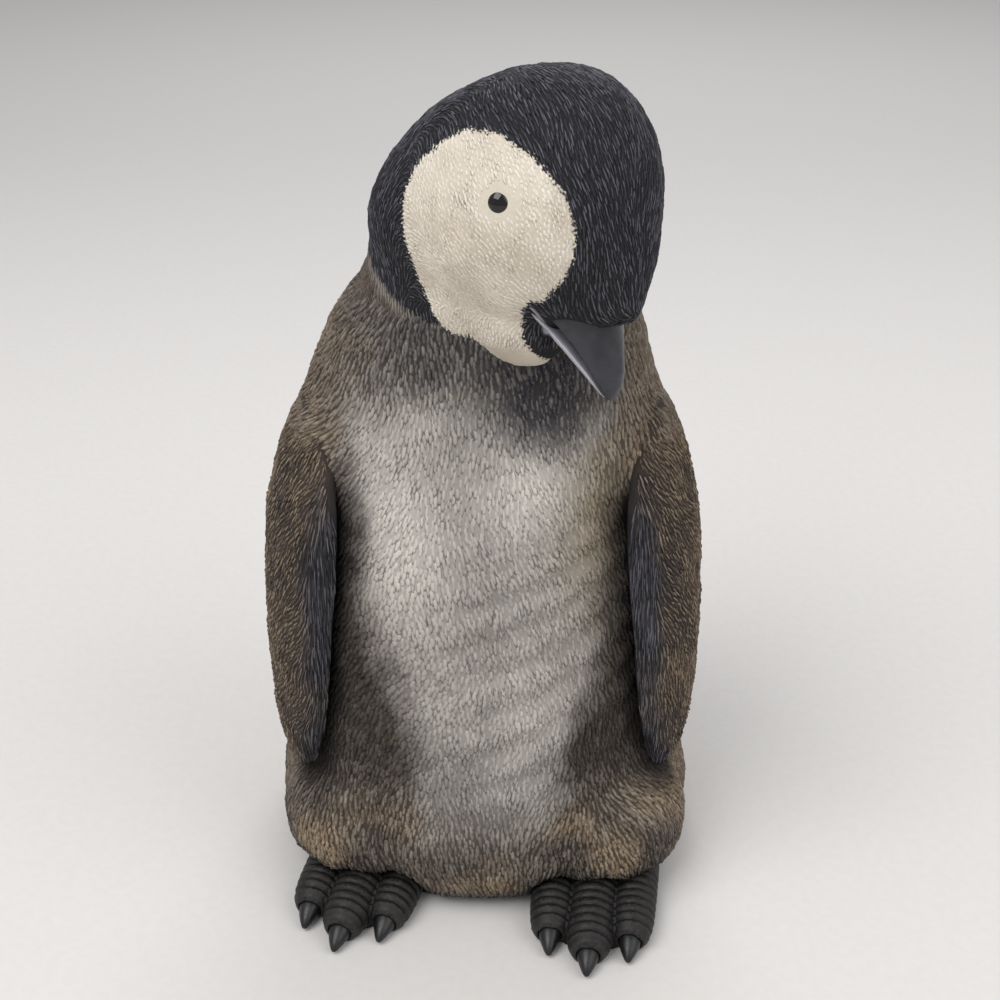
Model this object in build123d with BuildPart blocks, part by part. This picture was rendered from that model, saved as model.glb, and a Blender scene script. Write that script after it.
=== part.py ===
from build123d import *
import os
from math import cos, radians, sin

# A penguin chick figurine of painted cast resin. Its castings are pinned and glued together.
# Millimetres, +Z up. The chick looks along -Y with its head bowed, so its own right is at -X.
# The origin is on the ground, under the middle of the whole figure.

# Torso
torso_height = 124.0
torso_width = 79.6
torso_depth = 69.0
torso_axis_back = 1.7
torso_wall = 4.5
cavity_rows = slice(4, 10)
# Height, half width, half depth and backward shift of each section, the last as a share of the depth.
torso_section_shares = [
    (0.000, 0.890, 0.845, 0.012),
    (0.030, 0.975, 0.930, 0.006),
    (0.072, 1.000, 0.985, 0.000),
    (0.130, 0.972, 1.000, 0.000),
    (0.210, 0.930, 0.985, 0.000),
    (0.330, 0.895, 0.962, -0.004),
    (0.470, 0.868, 0.925, -0.008),
    (0.600, 0.846, 0.868, -0.010),
    (0.700, 0.810, 0.785, -0.006),
    (0.790, 0.735, 0.688, 0.000),
    (0.862, 0.620, 0.580, 0.005),
    (0.926, 0.455, 0.435, 0.014),
    (0.972, 0.290, 0.290, 0.022),
    (0.998, 0.100, 0.100, 0.026),
]

# Thigh lobes, the swell of down over each foot
thigh_radius = 16.8
thigh_half_height = 15.0
thigh_inset = 18.8
thigh_rise = 12.5
right_thigh_back = 19.8
left_thigh_back = 17.8

# Fits
glue_gap = 0.12
pin_gap = 0.05
overrun = 1.0

# Neck and hood, as sections above the ground
neck_width = 49.0
neck_depth = 43.0
neck_low = 100.0
neck_rise = 46.0
# Height, half width, half depth, side drift and backward drift of each section, the drifts as shares of the
# width and the depth.
neck_section_shares = [
    (0.000, 1.168, 1.146, 0.000, 0.000),
    (0.130, 1.080, 1.060, 0.009, -0.012),
    (0.250, 0.996, 1.014, 0.041, -0.051),
    (0.348, 0.963, 0.986, 0.080, -0.091),
    (0.446, 0.935, 0.940, 0.094, -0.147),
    (0.543, 0.898, 0.884, 0.086, -0.226),
    (0.652, 0.833, 0.828, 0.061, -0.295),
    (0.783, 0.742, 0.755, 0.061, -0.350),
    (0.891, 0.640, 0.640, 0.076, -0.375),
    (1.000, 0.480, 0.480, 0.100, -0.390),
    (1.070, 0.290, 0.290, 0.118, -0.395),
]

# Head
head_length = 42.6
head_height = 40.4
head_width = 39.6
head_side = 7.6
head_forward = 16.7
head_rise = 134.5
head_bow = 59.3
head_turn = 41.1
head_roll = -21.1
# Place along the bill's way, crown shift, half height and half width of each section.
head_section_shares = [
    (-0.396, 0.000, 0.150, 0.150),
    (-0.372, 0.000, 0.390, 0.390),
    (-0.318, 0.000, 0.670, 0.680),
    (-0.240, 0.000, 0.850, 0.860),
    (-0.132, 0.000, 0.965, 0.970),
    (0.000, 0.000, 1.000, 1.000),
    (0.138, 0.000, 0.965, 0.970),
    (0.252, 0.007, 0.868, 0.868),
    (0.367, 0.020, 0.735, 0.690),
    (0.459, 0.034, 0.596, 0.495),
    (0.528, 0.050, 0.465, 0.355),
    (0.582, 0.062, 0.330, 0.235),
]
chin_radius = 10.2
chin_half_length = 13.0
chin_along = 14.2
chin_drop = 7.8

# Bill
bill_root = 17.0
bill_length = 18.2
upper_height = 10.4
lower_height = 2.6
bill_width = 19.2
gape_gap = 0.6
# Place along the bill, rise of the gape as a share of the upper height, height and half width of each section.
upper_section_shares = [
    (0.000, -0.125, 1.000, 1.000),
    (0.275, 0.019, 0.700, 0.790),
    (0.478, 0.077, 0.520, 0.604),
    (0.659, 0.087, 0.423, 0.448),
    (0.824, 0.087, 0.337, 0.323),
    (0.934, 0.067, 0.250, 0.219),
    (1.000, 0.038, 0.125, 0.115),
]
lower_section_shares = [
    (0.080, -0.083, 0.960, 0.940),
    (0.275, 0.019, 1.000, 0.760),
    (0.478, 0.077, 0.920, 0.575),
    (0.659, 0.087, 0.800, 0.420),
    (0.824, 0.087, 0.620, 0.290),
    (0.920, 0.070, 0.400, 0.180),
    (0.965, 0.058, 0.230, 0.100),
]

# Eyes
eye_radius = 2.3
eye_proud = 0.75
eye_along = 2.6
eye_up = 4.4

# Flippers
flipper_top = 93.5
flipper_length = 68.5
flipper_thickness = 6.3
flipper_standoff = 0.2
flipper_tip_standoff = 0.9
# Fall from the top, leading angle, trailing angle and thickness of each section. Angles are from the front.
flipper_section_shares = [
    (0.000, 66.0, 86.0, 0.16),
    (0.030, 58.0, 90.5, 0.30),
    (0.070, 51.5, 93.5, 0.46),
    (0.120, 46.5, 95.5, 0.64),
    (0.190, 43.5, 96.5, 0.81),
    (0.280, 42.5, 97.0, 0.94),
    (0.400, 43.0, 96.0, 1.00),
    (0.530, 44.3, 94.0, 1.00),
    (0.660, 45.5, 91.0, 0.94),
    (0.770, 46.8, 87.5, 0.85),
    (0.850, 48.2, 83.5, 0.74),
    (0.910, 50.0, 79.0, 0.61),
    (0.955, 52.3, 74.0, 0.48),
    (0.985, 55.5, 69.0, 0.33),
    (1.000, 59.0, 65.0, 0.20),
]
# Where the points of a flipper's outline lie across its chord, and how far out as a share of the thickness.
outer_chord_shares = [(0.00, 0.70), (0.05, 0.88), (0.24, 1.00), (0.50, 0.92), (0.78, 0.62), (1.00, 0.20)]
inner_chord_shares = [(1.00, 0.04), (0.78, 0.00), (0.50, 0.00), (0.24, 0.00), (0.05, 0.12), (0.00, 0.32)]

# Pins
shoulder_pin_radius = 1.5
shoulder_pin_length = 11.0
shoulder_pin_height = 80.0
shoulder_pin_turn = 68.0
shoulder_pin_bite = 2.4
boss_radius = 4.2
neck_dowel_radius = 3.0
neck_dowel_length = 24.0
neck_dowel_low = 102.0
neck_dowel_side = 1.5
neck_dowel_forward = 4.0
foot_pin_radius = 1.5
foot_pin_length = 12.5
foot_pin_low = 2.0

# Feet
right_foot_inset = 18.8
right_foot_back = 15.3
right_foot_turn = -14.0
left_foot_inset = 18.6
left_foot_back = 9.9
left_foot_turn = -7.0
toe_length = 29.2
toe_start_back = 8.0
middle_toe_radius = 4.5
side_toe_radius = 4.1
side_toe_reach = 25.0
side_toe_spread = 8.0
side_toe_inturn = 0.8
crease_depth = 0.5
crease_width = 1.1
web_height = 3.0
web_inset = 1.4
heel_rise_share = 0.86
tip_rise_share = 0.56
# Place along a toe and its radius there.
toe_section_shares = [
    (0.00, 0.86),
    (0.22, 0.97),
    (0.48, 1.00),
    (0.74, 1.00),
    (0.86, 0.95),
    (0.93, 0.85),
    (0.98, 0.68),
    (1.00, 0.50),
]
middle_rib_count = 9
side_rib_count = 8
rib_from_share = 0.36
rib_to_share = 0.94

# Claws
claw_length = 5.6
claw_width = 4.1
claw_height = 3.9
claw_seat = 2.2
# Place along a claw, half width, half height and height of its middle.
claw_section_shares = [
    (0.00, 0.86, 0.86, 0.60),
    (0.28, 1.00, 1.00, 0.60),
    (0.58, 0.80, 0.82, 0.52),
    (0.84, 0.48, 0.52, 0.40),
    (1.00, 0.20, 0.22, 0.28),
]

# Tail
tail_width = 19.0
tail_height = 25.0
tail_stand = 11.1
tail_tenon_radius = 3.0
tail_tenon_length = 6.0
tail_tenon_height = 12.0
# Height, half width, half thickness and distance in from the reach of each section.
tail_thickness = 7.0
tail_section_shares = [
    (0.00, 0.62, 0.42, 0.22),
    (0.16, 0.86, 0.56, 0.29),
    (0.42, 1.00, 0.84, 0.62),
    (0.72, 0.84, 1.00, 1.12),
    (1.00, 0.50, 0.80, 1.62),
]

# Base
plug_radius = 13.0
plug_thickness = 4.0
plug_back = 6.0
plug_chamfer = 0.6
felt_radius = 12.4
felt_thickness = 1.2


def torso_form(grow=0.0):
    """The torso's outer form with its two thigh lobes, cut flat at the ground, each surface grown by a margin."""
    with BuildPart() as form:
        for height, half_width, half_depth, shift in torso_section_shares:
            with BuildSketch(Plane.XY.offset(height * torso_height)):
                with Locations((0, torso_axis_back + shift * torso_depth)):
                    Ellipse(half_width * torso_width / 2 + grow, half_depth * torso_depth / 2 + grow)
        loft()
        for side, back in ((-1, right_thigh_back), (1, left_thigh_back)):
            middle = (side * (torso_width / 2 - thigh_inset), torso_axis_back - torso_depth / 2 + back, thigh_rise)
            upright = Plane(origin=middle, x_dir=(1, 0, 0), z_dir=(0, -1, 0))
            with BuildSketch(upright):
                Ellipse(thigh_radius + grow, thigh_half_height + grow)
                with Locations((-thigh_radius, 0)):
                    Rectangle(2 * thigh_radius, 4 * thigh_half_height, mode=Mode.SUBTRACT)
            revolve(axis=Axis(middle, (0, 0, 1)))
        split(bisect_by=Plane.XY, keep=Keep.TOP)
    return form.part


def torso_size_at(height):
    """Half width, half depth and middle of the torso at a height, on straight lines between the sections."""
    share = min(max(height / torso_height, 0), 1)
    for low, high in zip(torso_section_shares, torso_section_shares[1:]):
        if share <= high[0]:
            break
    part = min(1, (share - low[0]) / (high[0] - low[0]))
    _, width, depth, shift = (a + (b - a) * part for a, b in zip(low, high))
    return width * torso_width / 2, depth * torso_depth / 2, torso_axis_back + shift * torso_depth


# The head's own axes: the bill's way, the crown's way and the chick's right
bill_way = Vector(0, -1, 0).rotate(Axis.X, head_bow).rotate(Axis.Z, head_turn)
upright_crown = Vector(0, 0, 1).rotate(Axis.X, head_bow).rotate(Axis.Z, head_turn)
crown_way = upright_crown.rotate(Axis((0, 0, 0), bill_way), head_roll)
right_way = bill_way.cross(crown_way)
head_middle = Vector(head_side, torso_axis_back - head_forward, head_rise)


def head_point(along, up, right):
    """A point of the figure from its place in the head's own axes."""
    return head_middle + bill_way * along + crown_way * up + right_way * right


def head_plane(along, up=0.0):
    """A plane across the head's length. Its X points to the crown."""
    return Plane(origin=head_point(along, up, 0), x_dir=crown_way, z_dir=bill_way)


def mandible_form(sections, height, side, grow=0.0):
    """A mandible from its root inside the head to its tip. side is 1 above the gape and -1 below it."""
    with BuildPart() as form:
        for along, rise, tall, half_width in sections:
            with BuildSketch(head_plane(bill_root + along * bill_length, rise * upper_height)):
                Ellipse(tall * height + grow, half_width * bill_width / 2 + grow)
                with Locations((side * (height + gape_gap / 2 - grow), 0)):
                    Rectangle(2 * height, 2 * bill_width, mode=Mode.INTERSECT)
        loft(ruled=True)
    return form.part


def gape_form():
    """The slot between the mandibles' seats."""
    with BuildPart() as form:
        for along, rise, _, half_width in upper_section_shares:
            with BuildSketch(head_plane(bill_root + along * bill_length, rise * upper_height)):
                Rectangle(gape_gap, half_width * bill_width)
        loft(ruled=True)
    return form.part


def hood_form():
    """The head, chin and neck in one, before anything is set in it."""
    with BuildPart() as form:
        for along, up, half_height, half_width in head_section_shares:
            with BuildSketch(head_plane(along * head_length, up * head_height)):
                Ellipse(half_height * head_height / 2, half_width * head_width / 2)
        loft()
        chin_middle = head_point(chin_along, -chin_drop, 0)
        with BuildSketch(Plane(origin=chin_middle, x_dir=crown_way, z_dir=-right_way)):
            Ellipse(chin_radius, chin_half_length)
            with Locations((-chin_radius, 0)):
                Rectangle(2 * chin_radius, 4 * chin_half_length, mode=Mode.SUBTRACT)
        revolve(axis=Axis(chin_middle, bill_way))
    with BuildPart() as neck:
        for height, half_width, half_depth, side, back in neck_section_shares:
            with BuildSketch(Plane.XY.offset(neck_low + height * neck_rise)):
                with Locations((side * neck_width, torso_axis_back + back * neck_depth)):
                    Ellipse(half_width * neck_width / 2, half_depth * neck_depth / 2)
        loft()
    with BuildPart() as whole:
        add(form.part)
        add(neck.part)
    return whole.part


def flipper_form():
    """The chick's right flipper, which hugs the side of the torso."""
    with BuildPart() as form:
        for fall, lead, trail, thick in flipper_section_shares:
            height = flipper_top - fall * flipper_length
            half_width, half_depth, middle = torso_size_at(height)
            stand = flipper_standoff + fall * (flipper_tip_standoff - flipper_standoff)
            thickness = thick * flipper_thickness

            def rim(across, out):
                turn = radians(lead + across * (trail - lead))
                return (-(half_width + out) * sin(turn), middle - (half_depth + out) * cos(turn))

            outer = [rim(across, stand + full * thickness) for across, full in outer_chord_shares]
            inner = [rim(across, stand + full * thickness) for across, full in inner_chord_shares]
            with BuildSketch(Plane.XY.offset(height)):
                with BuildLine():
                    Spline(*outer)
                    Line(outer[-1], inner[0])
                    Spline(*inner)
                    Line(inner[-1], outer[0])
                make_face()
        loft(ruled=True)
    return form.part


def shoulder_rod(radius, low, high):
    """A rod on the axis of the right shoulder pin, between two distances from the pin's inner end."""
    half_width, half_depth, middle = torso_size_at(shoulder_pin_height)
    turn = radians(shoulder_pin_turn)
    way = Vector(-sin(turn), -cos(turn), 0)
    seat = Vector(-half_width * sin(turn), middle - half_depth * cos(turn), shoulder_pin_height)
    with BuildPart() as form:
        with BuildSketch(Plane(origin=seat + way * (shoulder_pin_bite - shoulder_pin_length + low), z_dir=way)):
            Circle(radius)
        extrude(amount=high - low)
    return form.part


def toe_form(start, end, radius, ribs, grow=0.0):
    """A toe from the heel to its end, cut flat on the ground. With ribs it has that many scutes, parted by creases."""
    way = (end - start).normalized()
    reach = (end - start).length
    rows = list(toe_section_shares)
    for n in range(ribs):
        share = rib_from_share + (rib_to_share - rib_from_share) * (n + 0.5) / ribs
        for low, high in zip(toe_section_shares, toe_section_shares[1:]):
            if share <= high[0]:
                break
        full = low[1] + (high[1] - low[1]) * (share - low[0]) / (high[0] - low[0])
        half_crease = crease_width / 2 / reach
        rows += [(share - half_crease, full), (share, full - crease_depth / radius), (share + half_crease, full)]
    rows.sort()
    points = [(share * reach, full * radius + grow) for share, full in rows]
    with BuildPart() as form:
        with BuildSketch(Plane(origin=start, x_dir=way, z_dir=way.cross(Vector(0, 0, 1)))):
            with BuildLine():
                Polyline((0, 0), *points, (reach, 0), close=True)
            make_face()
        revolve(axis=Axis(start, way))
        split(bisect_by=Plane.XY, keep=Keep.TOP)
    return form.part


def toes():
    """The start, end, radius and rib count of the three toes of a foot at the origin."""
    low, high = tip_rise_share * middle_toe_radius, heel_rise_share * middle_toe_radius
    listed = [
        (
            Vector(0, toe_start_back, high),
            Vector(0, toe_start_back - toe_length, low),
            middle_toe_radius,
            middle_rib_count,
        )
    ]
    for side in (-1, 1):
        start = Vector(side * side_toe_spread, toe_start_back, heel_rise_share * side_toe_radius)
        end = Vector(side * (side_toe_spread - side_toe_inturn), toe_start_back - side_toe_reach, low)
        listed.append((start, end, side_toe_radius, side_rib_count))
    return listed


def claw_form(start, end, grow=0.0):
    """One claw, seated in the end of its toe."""
    way = Vector(end.X - start.X, end.Y - start.Y, 0).normalized()
    with BuildPart() as form:
        for along, half_width, half_height, middle in claw_section_shares:
            centre = Vector(end.X, end.Y, middle * claw_height) + way * (along * claw_length - claw_seat)
            with BuildSketch(Plane(origin=centre, x_dir=(0, 0, 1), z_dir=way)):
                Ellipse(half_height * claw_height / 2 + grow, half_width * claw_width / 2 + grow)
        loft()
    return form.part


def foot_form(ribbed=True, grow=0.0):
    """A foot at the origin with its toes towards -Y: three toes side by side and the web between them."""
    with BuildPart() as form:
        for start, end, radius, ribs in toes():
            add(toe_form(start, end, radius, ribs if ribbed else 0, grow))
        (_, middle, _, _), (_, side, _, _) = toes()[:2]
        back_corner = side_toe_spread - web_inset
        front_corner = side_toe_spread - side_toe_inturn - web_inset
        with BuildSketch(Plane.XY):
            with BuildLine():
                Polyline(
                    (-back_corner, web_inset),
                    (-front_corner, side.Y + web_inset),
                    (0, (middle.Y + side.Y) / 2),
                    (front_corner, side.Y + web_inset),
                    (back_corner, web_inset),
                    close=True,
                )
            make_face()
        extrude(amount=web_height + grow)
    return form.part


def foot_place(side, inset, back, turn):
    """Where a foot's pin meets the ground, in from the torso's side and front, and the foot's turn."""
    return Location((side * (torso_width / 2 - inset), torso_axis_back - torso_depth / 2 + back, 0), (0, 0, turn))


right_foot_place = foot_place(-1, right_foot_inset, right_foot_back, right_foot_turn)
left_foot_place = foot_place(1, left_foot_inset, left_foot_back, left_foot_turn)

# Shared forms
torso_outside = torso_form()
torso_seat = torso_form(glue_gap)
hood = hood_form()
foot_seat = foot_form(ribbed=False, grow=glue_gap)
pin_hole = shoulder_rod(shoulder_pin_radius + pin_gap, 0, shoulder_pin_length + pin_gap)
pin_boss = shoulder_rod(boss_radius, -overrun, shoulder_pin_length - shoulder_pin_bite - torso_wall / 2)

# Torso shell: a hollow casting with a pouring hole in its base
with BuildPart() as torso_shell:
    add(torso_outside)
    for height, half_width, half_depth, shift in torso_section_shares[cavity_rows]:
        with BuildSketch(Plane.XY.offset(height * torso_height)):
            with Locations((0, torso_axis_back + shift * torso_depth)):
                Ellipse(half_width * torso_width / 2 - torso_wall, half_depth * torso_depth / 2 - torso_wall)
    loft(mode=Mode.SUBTRACT)
    with BuildSketch(Plane.XY):
        with Locations((0, torso_axis_back + plug_back)):
            Circle(plug_radius)
    extrude(amount=torso_section_shares[cavity_rows][0][0] * torso_height + overrun, mode=Mode.SUBTRACT)
    for form, mode in ((pin_boss, Mode.ADD), (pin_hole, Mode.SUBTRACT)):
        add(form, mode=mode)
        mirror(form, about=Plane.YZ, mode=mode)
    with BuildSketch(Plane.XY.offset(neck_dowel_low)):
        with Locations((neck_dowel_side, torso_axis_back - neck_dowel_forward)):
            Circle(neck_dowel_radius + pin_gap)
    extrude(amount=neck_dowel_length, mode=Mode.SUBTRACT)
    for place in (right_foot_place, left_foot_place):
        add(foot_seat.moved(place), mode=Mode.SUBTRACT)
        with BuildSketch(Plane.XY):
            with Locations((place.position.X, place.position.Y)):
                Circle(foot_pin_radius + pin_gap)
        extrude(amount=foot_pin_low + foot_pin_length, mode=Mode.SUBTRACT)
    with BuildSketch(Plane(origin=(0, torso_axis_back, tail_tenon_height), z_dir=(0, 1, 0))):
        Circle(tail_tenon_radius + pin_gap)
    extrude(amount=2 * torso_depth, mode=Mode.SUBTRACT)

# Upper and lower mandible, each with its root set into the head
with BuildPart() as upper_mandible:
    add(mandible_form(upper_section_shares, upper_height, 1))

with BuildPart() as lower_mandible:
    add(mandible_form(lower_section_shares, lower_height, -1))

# Head: the hood with seats for the neck, the bill and the eyes
eye_places = {}
for name, side in (("right", 1), ("left", -1)):
    half_height, half_width = head_height / 2, head_width / 2
    out = half_width * (1 - (eye_up / half_height) ** 2) ** 0.5
    eye_places[name] = head_point(eye_along, eye_up, side * (out - eye_radius + eye_proud - glue_gap))

with BuildPart() as head:
    add(hood)
    for place in eye_places.values():
        with Locations(place):
            Sphere(eye_radius + glue_gap, mode=Mode.SUBTRACT)
    add(mandible_form(upper_section_shares, upper_height, 1, glue_gap), mode=Mode.SUBTRACT)
    add(mandible_form(lower_section_shares, lower_height, -1, glue_gap), mode=Mode.SUBTRACT)
    add(gape_form(), mode=Mode.SUBTRACT)
    add(torso_seat, mode=Mode.SUBTRACT)
    with BuildSketch(Plane.XY.offset(neck_dowel_low)):
        with Locations((neck_dowel_side, torso_axis_back - neck_dowel_forward)):
            Circle(neck_dowel_radius + pin_gap)
    extrude(amount=neck_dowel_length, mode=Mode.SUBTRACT)

# Eyes: glass beads
eyes = {}
for name, place in eye_places.items():
    with BuildPart() as eye:
        with Locations(place):
            Sphere(eye_radius)
    eyes[name] = eye.part

# Flippers with their shoulder pins. The left ones mirror the right ones.
with BuildPart() as flipper_right:
    add(flipper_form())
    add(torso_seat, mode=Mode.SUBTRACT)
    add(pin_hole, mode=Mode.SUBTRACT)

with BuildPart() as shoulder_pin_right:
    add(shoulder_rod(shoulder_pin_radius, 0, shoulder_pin_length))

with BuildPart() as flipper_left:
    mirror(flipper_right.part, about=Plane.YZ)

with BuildPart() as shoulder_pin_left:
    mirror(shoulder_pin_right.part, about=Plane.YZ)

# Feet, claws and foot pins
with BuildPart() as claw_set:
    for start, end, _, _ in toes():
        add(claw_form(start, end))

with BuildPart() as foot_blank:
    add(foot_form())
    for start, end, _, _ in toes():
        add(claw_form(start, end, glue_gap), mode=Mode.SUBTRACT)
    with BuildSketch(Plane.XY.offset(foot_pin_low)):
        Circle(foot_pin_radius + pin_gap)
    extrude(amount=foot_pin_length, mode=Mode.SUBTRACT)

with BuildPart() as foot_pin:
    with BuildSketch(Plane.XY.offset(foot_pin_low)):
        Circle(foot_pin_radius)
    extrude(amount=foot_pin_length)

feet, claws, foot_pins = {}, {}, {}
for name, place in (("right", right_foot_place), ("left", left_foot_place)):
    feet[name] = foot_blank.part.moved(place)
    claws[name] = claw_set.part.moved(place)
    foot_pins[name] = foot_pin.part.moved(place)

# Neck dowel
with BuildPart() as neck_dowel:
    with BuildSketch(Plane.XY.offset(neck_dowel_low)):
        with Locations((neck_dowel_side, torso_axis_back - neck_dowel_forward)):
            Circle(neck_dowel_radius)
    extrude(amount=neck_dowel_length)

# Tail: a stub of stiff down that props the figure from behind, with a tenon into the torso
tail_reach = torso_axis_back + torso_depth / 2 + tail_stand
with BuildPart() as tail:
    for height, half_width, half_thickness, inset in tail_section_shares:
        with BuildSketch(Plane.XY.offset(height * tail_height)):
            with Locations((0, tail_reach - inset * tail_thickness)):
                Ellipse(half_width * tail_width / 2, half_thickness * tail_thickness / 2)
    loft()
    add(torso_seat, mode=Mode.SUBTRACT)
    tenon_start = torso_axis_back + torso_depth / 2 - tail_tenon_length
    with BuildSketch(Plane(origin=(0, tenon_start, tail_tenon_height), z_dir=(0, 1, 0))):
        Circle(tail_tenon_radius)
    extrude(amount=tail_tenon_length + tail_stand / 4)

# Base plug and felt
with BuildPart() as base_plug:
    with BuildSketch(Plane.XY.offset(felt_thickness)):
        with Locations((0, torso_axis_back + plug_back)):
            Circle(plug_radius - glue_gap)
    extrude(amount=plug_thickness)
    chamfer(base_plug.edges().group_by(Axis.Z)[-1], plug_chamfer)

with BuildPart() as base_felt:
    with BuildSketch(Plane.XY):
        with Locations((0, torso_axis_back + plug_back)):
            Circle(felt_radius)
    extrude(amount=felt_thickness)

nodes = {
    "torso_shell": torso_shell.part,
    "head": head.part,
    "upper_mandible": upper_mandible.part,
    "lower_mandible": lower_mandible.part,
    "eye_right": eyes["right"],
    "eye_left": eyes["left"],
    "flipper_right": flipper_right.part,
    "flipper_left": flipper_left.part,
    "foot_right": feet["right"],
    "foot_left": feet["left"],
    "claws_right": claws["right"],
    "claws_left": claws["left"],
    "tail": tail.part,
    "neck_dowel": neck_dowel.part,
    "shoulder_pin_right": shoulder_pin_right.part,
    "shoulder_pin_left": shoulder_pin_left.part,
    "foot_pin_right": foot_pins["right"],
    "foot_pin_left": foot_pins["left"],
    "base_plug": base_plug.part,
    "base_felt": base_felt.part,
}

os.makedirs("parts", exist_ok=True)
for name, part in nodes.items():
    part.label = name
    export_step(part, f"parts/{name}.step")
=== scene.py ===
# %% [markdown]
# # A penguin chick figurine in painted resin
# The real figure is cast in polyurethane resin, pinned and glued, then painted by hand: a dark base coat,
# thin washes that settle in the grooves, and lighter paint brushed dry over the crests. The castings come
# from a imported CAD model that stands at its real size. This script puts the modelled down and the paint on
# them.
# %% Load the castings
import itertools

import bmesh
import bpy
import numpy as np
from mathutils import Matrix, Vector
from mathutils.bvhtree import BVHTree


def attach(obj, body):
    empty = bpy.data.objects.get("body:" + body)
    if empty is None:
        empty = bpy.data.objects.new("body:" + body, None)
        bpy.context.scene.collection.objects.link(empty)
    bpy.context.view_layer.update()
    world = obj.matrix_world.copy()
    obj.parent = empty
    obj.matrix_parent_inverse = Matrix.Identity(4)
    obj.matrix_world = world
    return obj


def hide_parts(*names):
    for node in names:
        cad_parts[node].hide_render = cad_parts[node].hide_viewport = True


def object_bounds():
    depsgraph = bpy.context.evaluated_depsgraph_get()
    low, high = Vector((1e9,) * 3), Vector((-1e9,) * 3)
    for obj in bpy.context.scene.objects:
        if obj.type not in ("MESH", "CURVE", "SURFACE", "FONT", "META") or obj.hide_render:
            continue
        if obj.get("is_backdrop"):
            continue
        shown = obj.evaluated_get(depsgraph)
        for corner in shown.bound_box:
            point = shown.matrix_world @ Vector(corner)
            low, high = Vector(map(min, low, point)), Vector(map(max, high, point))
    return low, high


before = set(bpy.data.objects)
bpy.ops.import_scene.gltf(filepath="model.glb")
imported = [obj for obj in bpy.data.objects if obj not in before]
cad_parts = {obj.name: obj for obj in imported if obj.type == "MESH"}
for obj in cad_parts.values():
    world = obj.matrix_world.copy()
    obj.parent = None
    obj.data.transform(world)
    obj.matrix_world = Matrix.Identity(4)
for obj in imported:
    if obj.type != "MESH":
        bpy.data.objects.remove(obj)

mm = 0.001
cad_box = [list(corner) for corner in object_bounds()]


def in_mm(lengths):
    """Lengths in metres as rounded millimetres, to print."""
    return [round(float(length) / mm, 2) for length in lengths]


print("castings:", len(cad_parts), "box in mm:", [in_mm(corner) for corner in cad_box])

# %% [markdown]
# ## Random bumps that repeat on every run
# Down, pinholes and brush marks are irregular, but the script must give the same figure each time. So the
# bumps come from one lattice of random numbers with a fixed seed, read smoothly between its points.
# %% Smooth noise
lattice_size = 48
seed_shift = 0.37


def bumps(points, size, seed):
    """Smooth random values from -1 to 1 at each point, with bumps about as wide as size."""
    lattice = np.random.default_rng(seed).uniform(-1, 1, (lattice_size,) * 3)
    at = points / size + seed_shift * seed
    low = np.floor(at).astype(int)
    part = at - low
    part = part * part * (3 - 2 * part)
    total = np.zeros(len(points))
    for corner in itertools.product((0, 1), repeat=3):
        weight = np.prod(np.where(corner, part, 1 - part), axis=1)
        i, j, k = ((low + corner) % lattice_size).T
        total += lattice[i, j, k] * weight
    return total


def all_bumps(points, *kinds):
    """The sum of bumps of several kinds, each with its height, its width and its seed."""
    return sum(height * bumps(points, width, seed) for height, width, seed in kinds)


def smooth_step(low, high, values):
    """0 below low, 1 above high and a soft ramp between them."""
    part = np.clip((values - low) / (high - low), 0, 1)
    return part * part * (3 - 2 * part)


print("lowest of a hundred bumps:", bumps(np.arange(300.0).reshape(100, 3), 2.5, 1).min().round(2))

# %% [markdown]
# ## Skins over the castings
# The castings are smooth CAD solids. Modelled down needs an even mesh that can be pushed in and out, which
# the triangles of a CAD export don't give. A shrinkwrap modifier would do it, but rays are simpler to
# control: each point of an even mesh looks inwards and stops at the first casting that it meets.
# %% Rays and distances
ray_start = 90 * mm


def surface_of(*names):
    """One search tree over the surfaces of some castings."""
    points, faces = [], []
    for name in names:
        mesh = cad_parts[name].data
        start = len(points)
        points += [vertex.co.copy() for vertex in mesh.vertices]
        faces += [[start + index for index in face.vertices] for face in mesh.polygons]
    return BVHTree.FromPolygons(points, faces)


def cast_in(tree, centres, ways):
    """How far from its centre each ray from outside first meets the tree. 0 where it meets nothing."""
    found = np.zeros(len(centres))
    for index, (centre, way) in enumerate(zip(centres, ways)):
        hit, _, _, distance = tree.ray_cast(Vector(centre + way * ray_start), Vector(-way), ray_start)
        if hit is not None:
            found[index] = ray_start - distance
    return found


def distance_to(tree, points):
    """Each point's distance to the tree's surface in millimetres."""
    return np.array([tree.find_nearest(Vector(point))[3] for point in points]) / mm


outer = surface_of("torso_shell", "tail", "head")
print("from the origin to the castings:", distance_to(outer, [(0, 0, 0)]).round(2), "mm")

# %% [markdown]
# A mesh's points go to and from arrays of numbers, because arithmetic on a whole array is many times
# faster than a loop over points. Relaxing an array along the mesh's edges smooths any value: a place, a
# radius or a mark. Each finished mesh becomes a piece that rides on the figure and stands for the castings
# under it.
# %% Points, smoothing and pieces


def edge_pairs(mesh):
    """The two ends of every edge, as one array of rows."""
    ends = np.empty(len(mesh.edges) * 2, np.int64)
    mesh.edges.foreach_get("vertices", ends)
    return ends.reshape(-1, 2)


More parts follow.
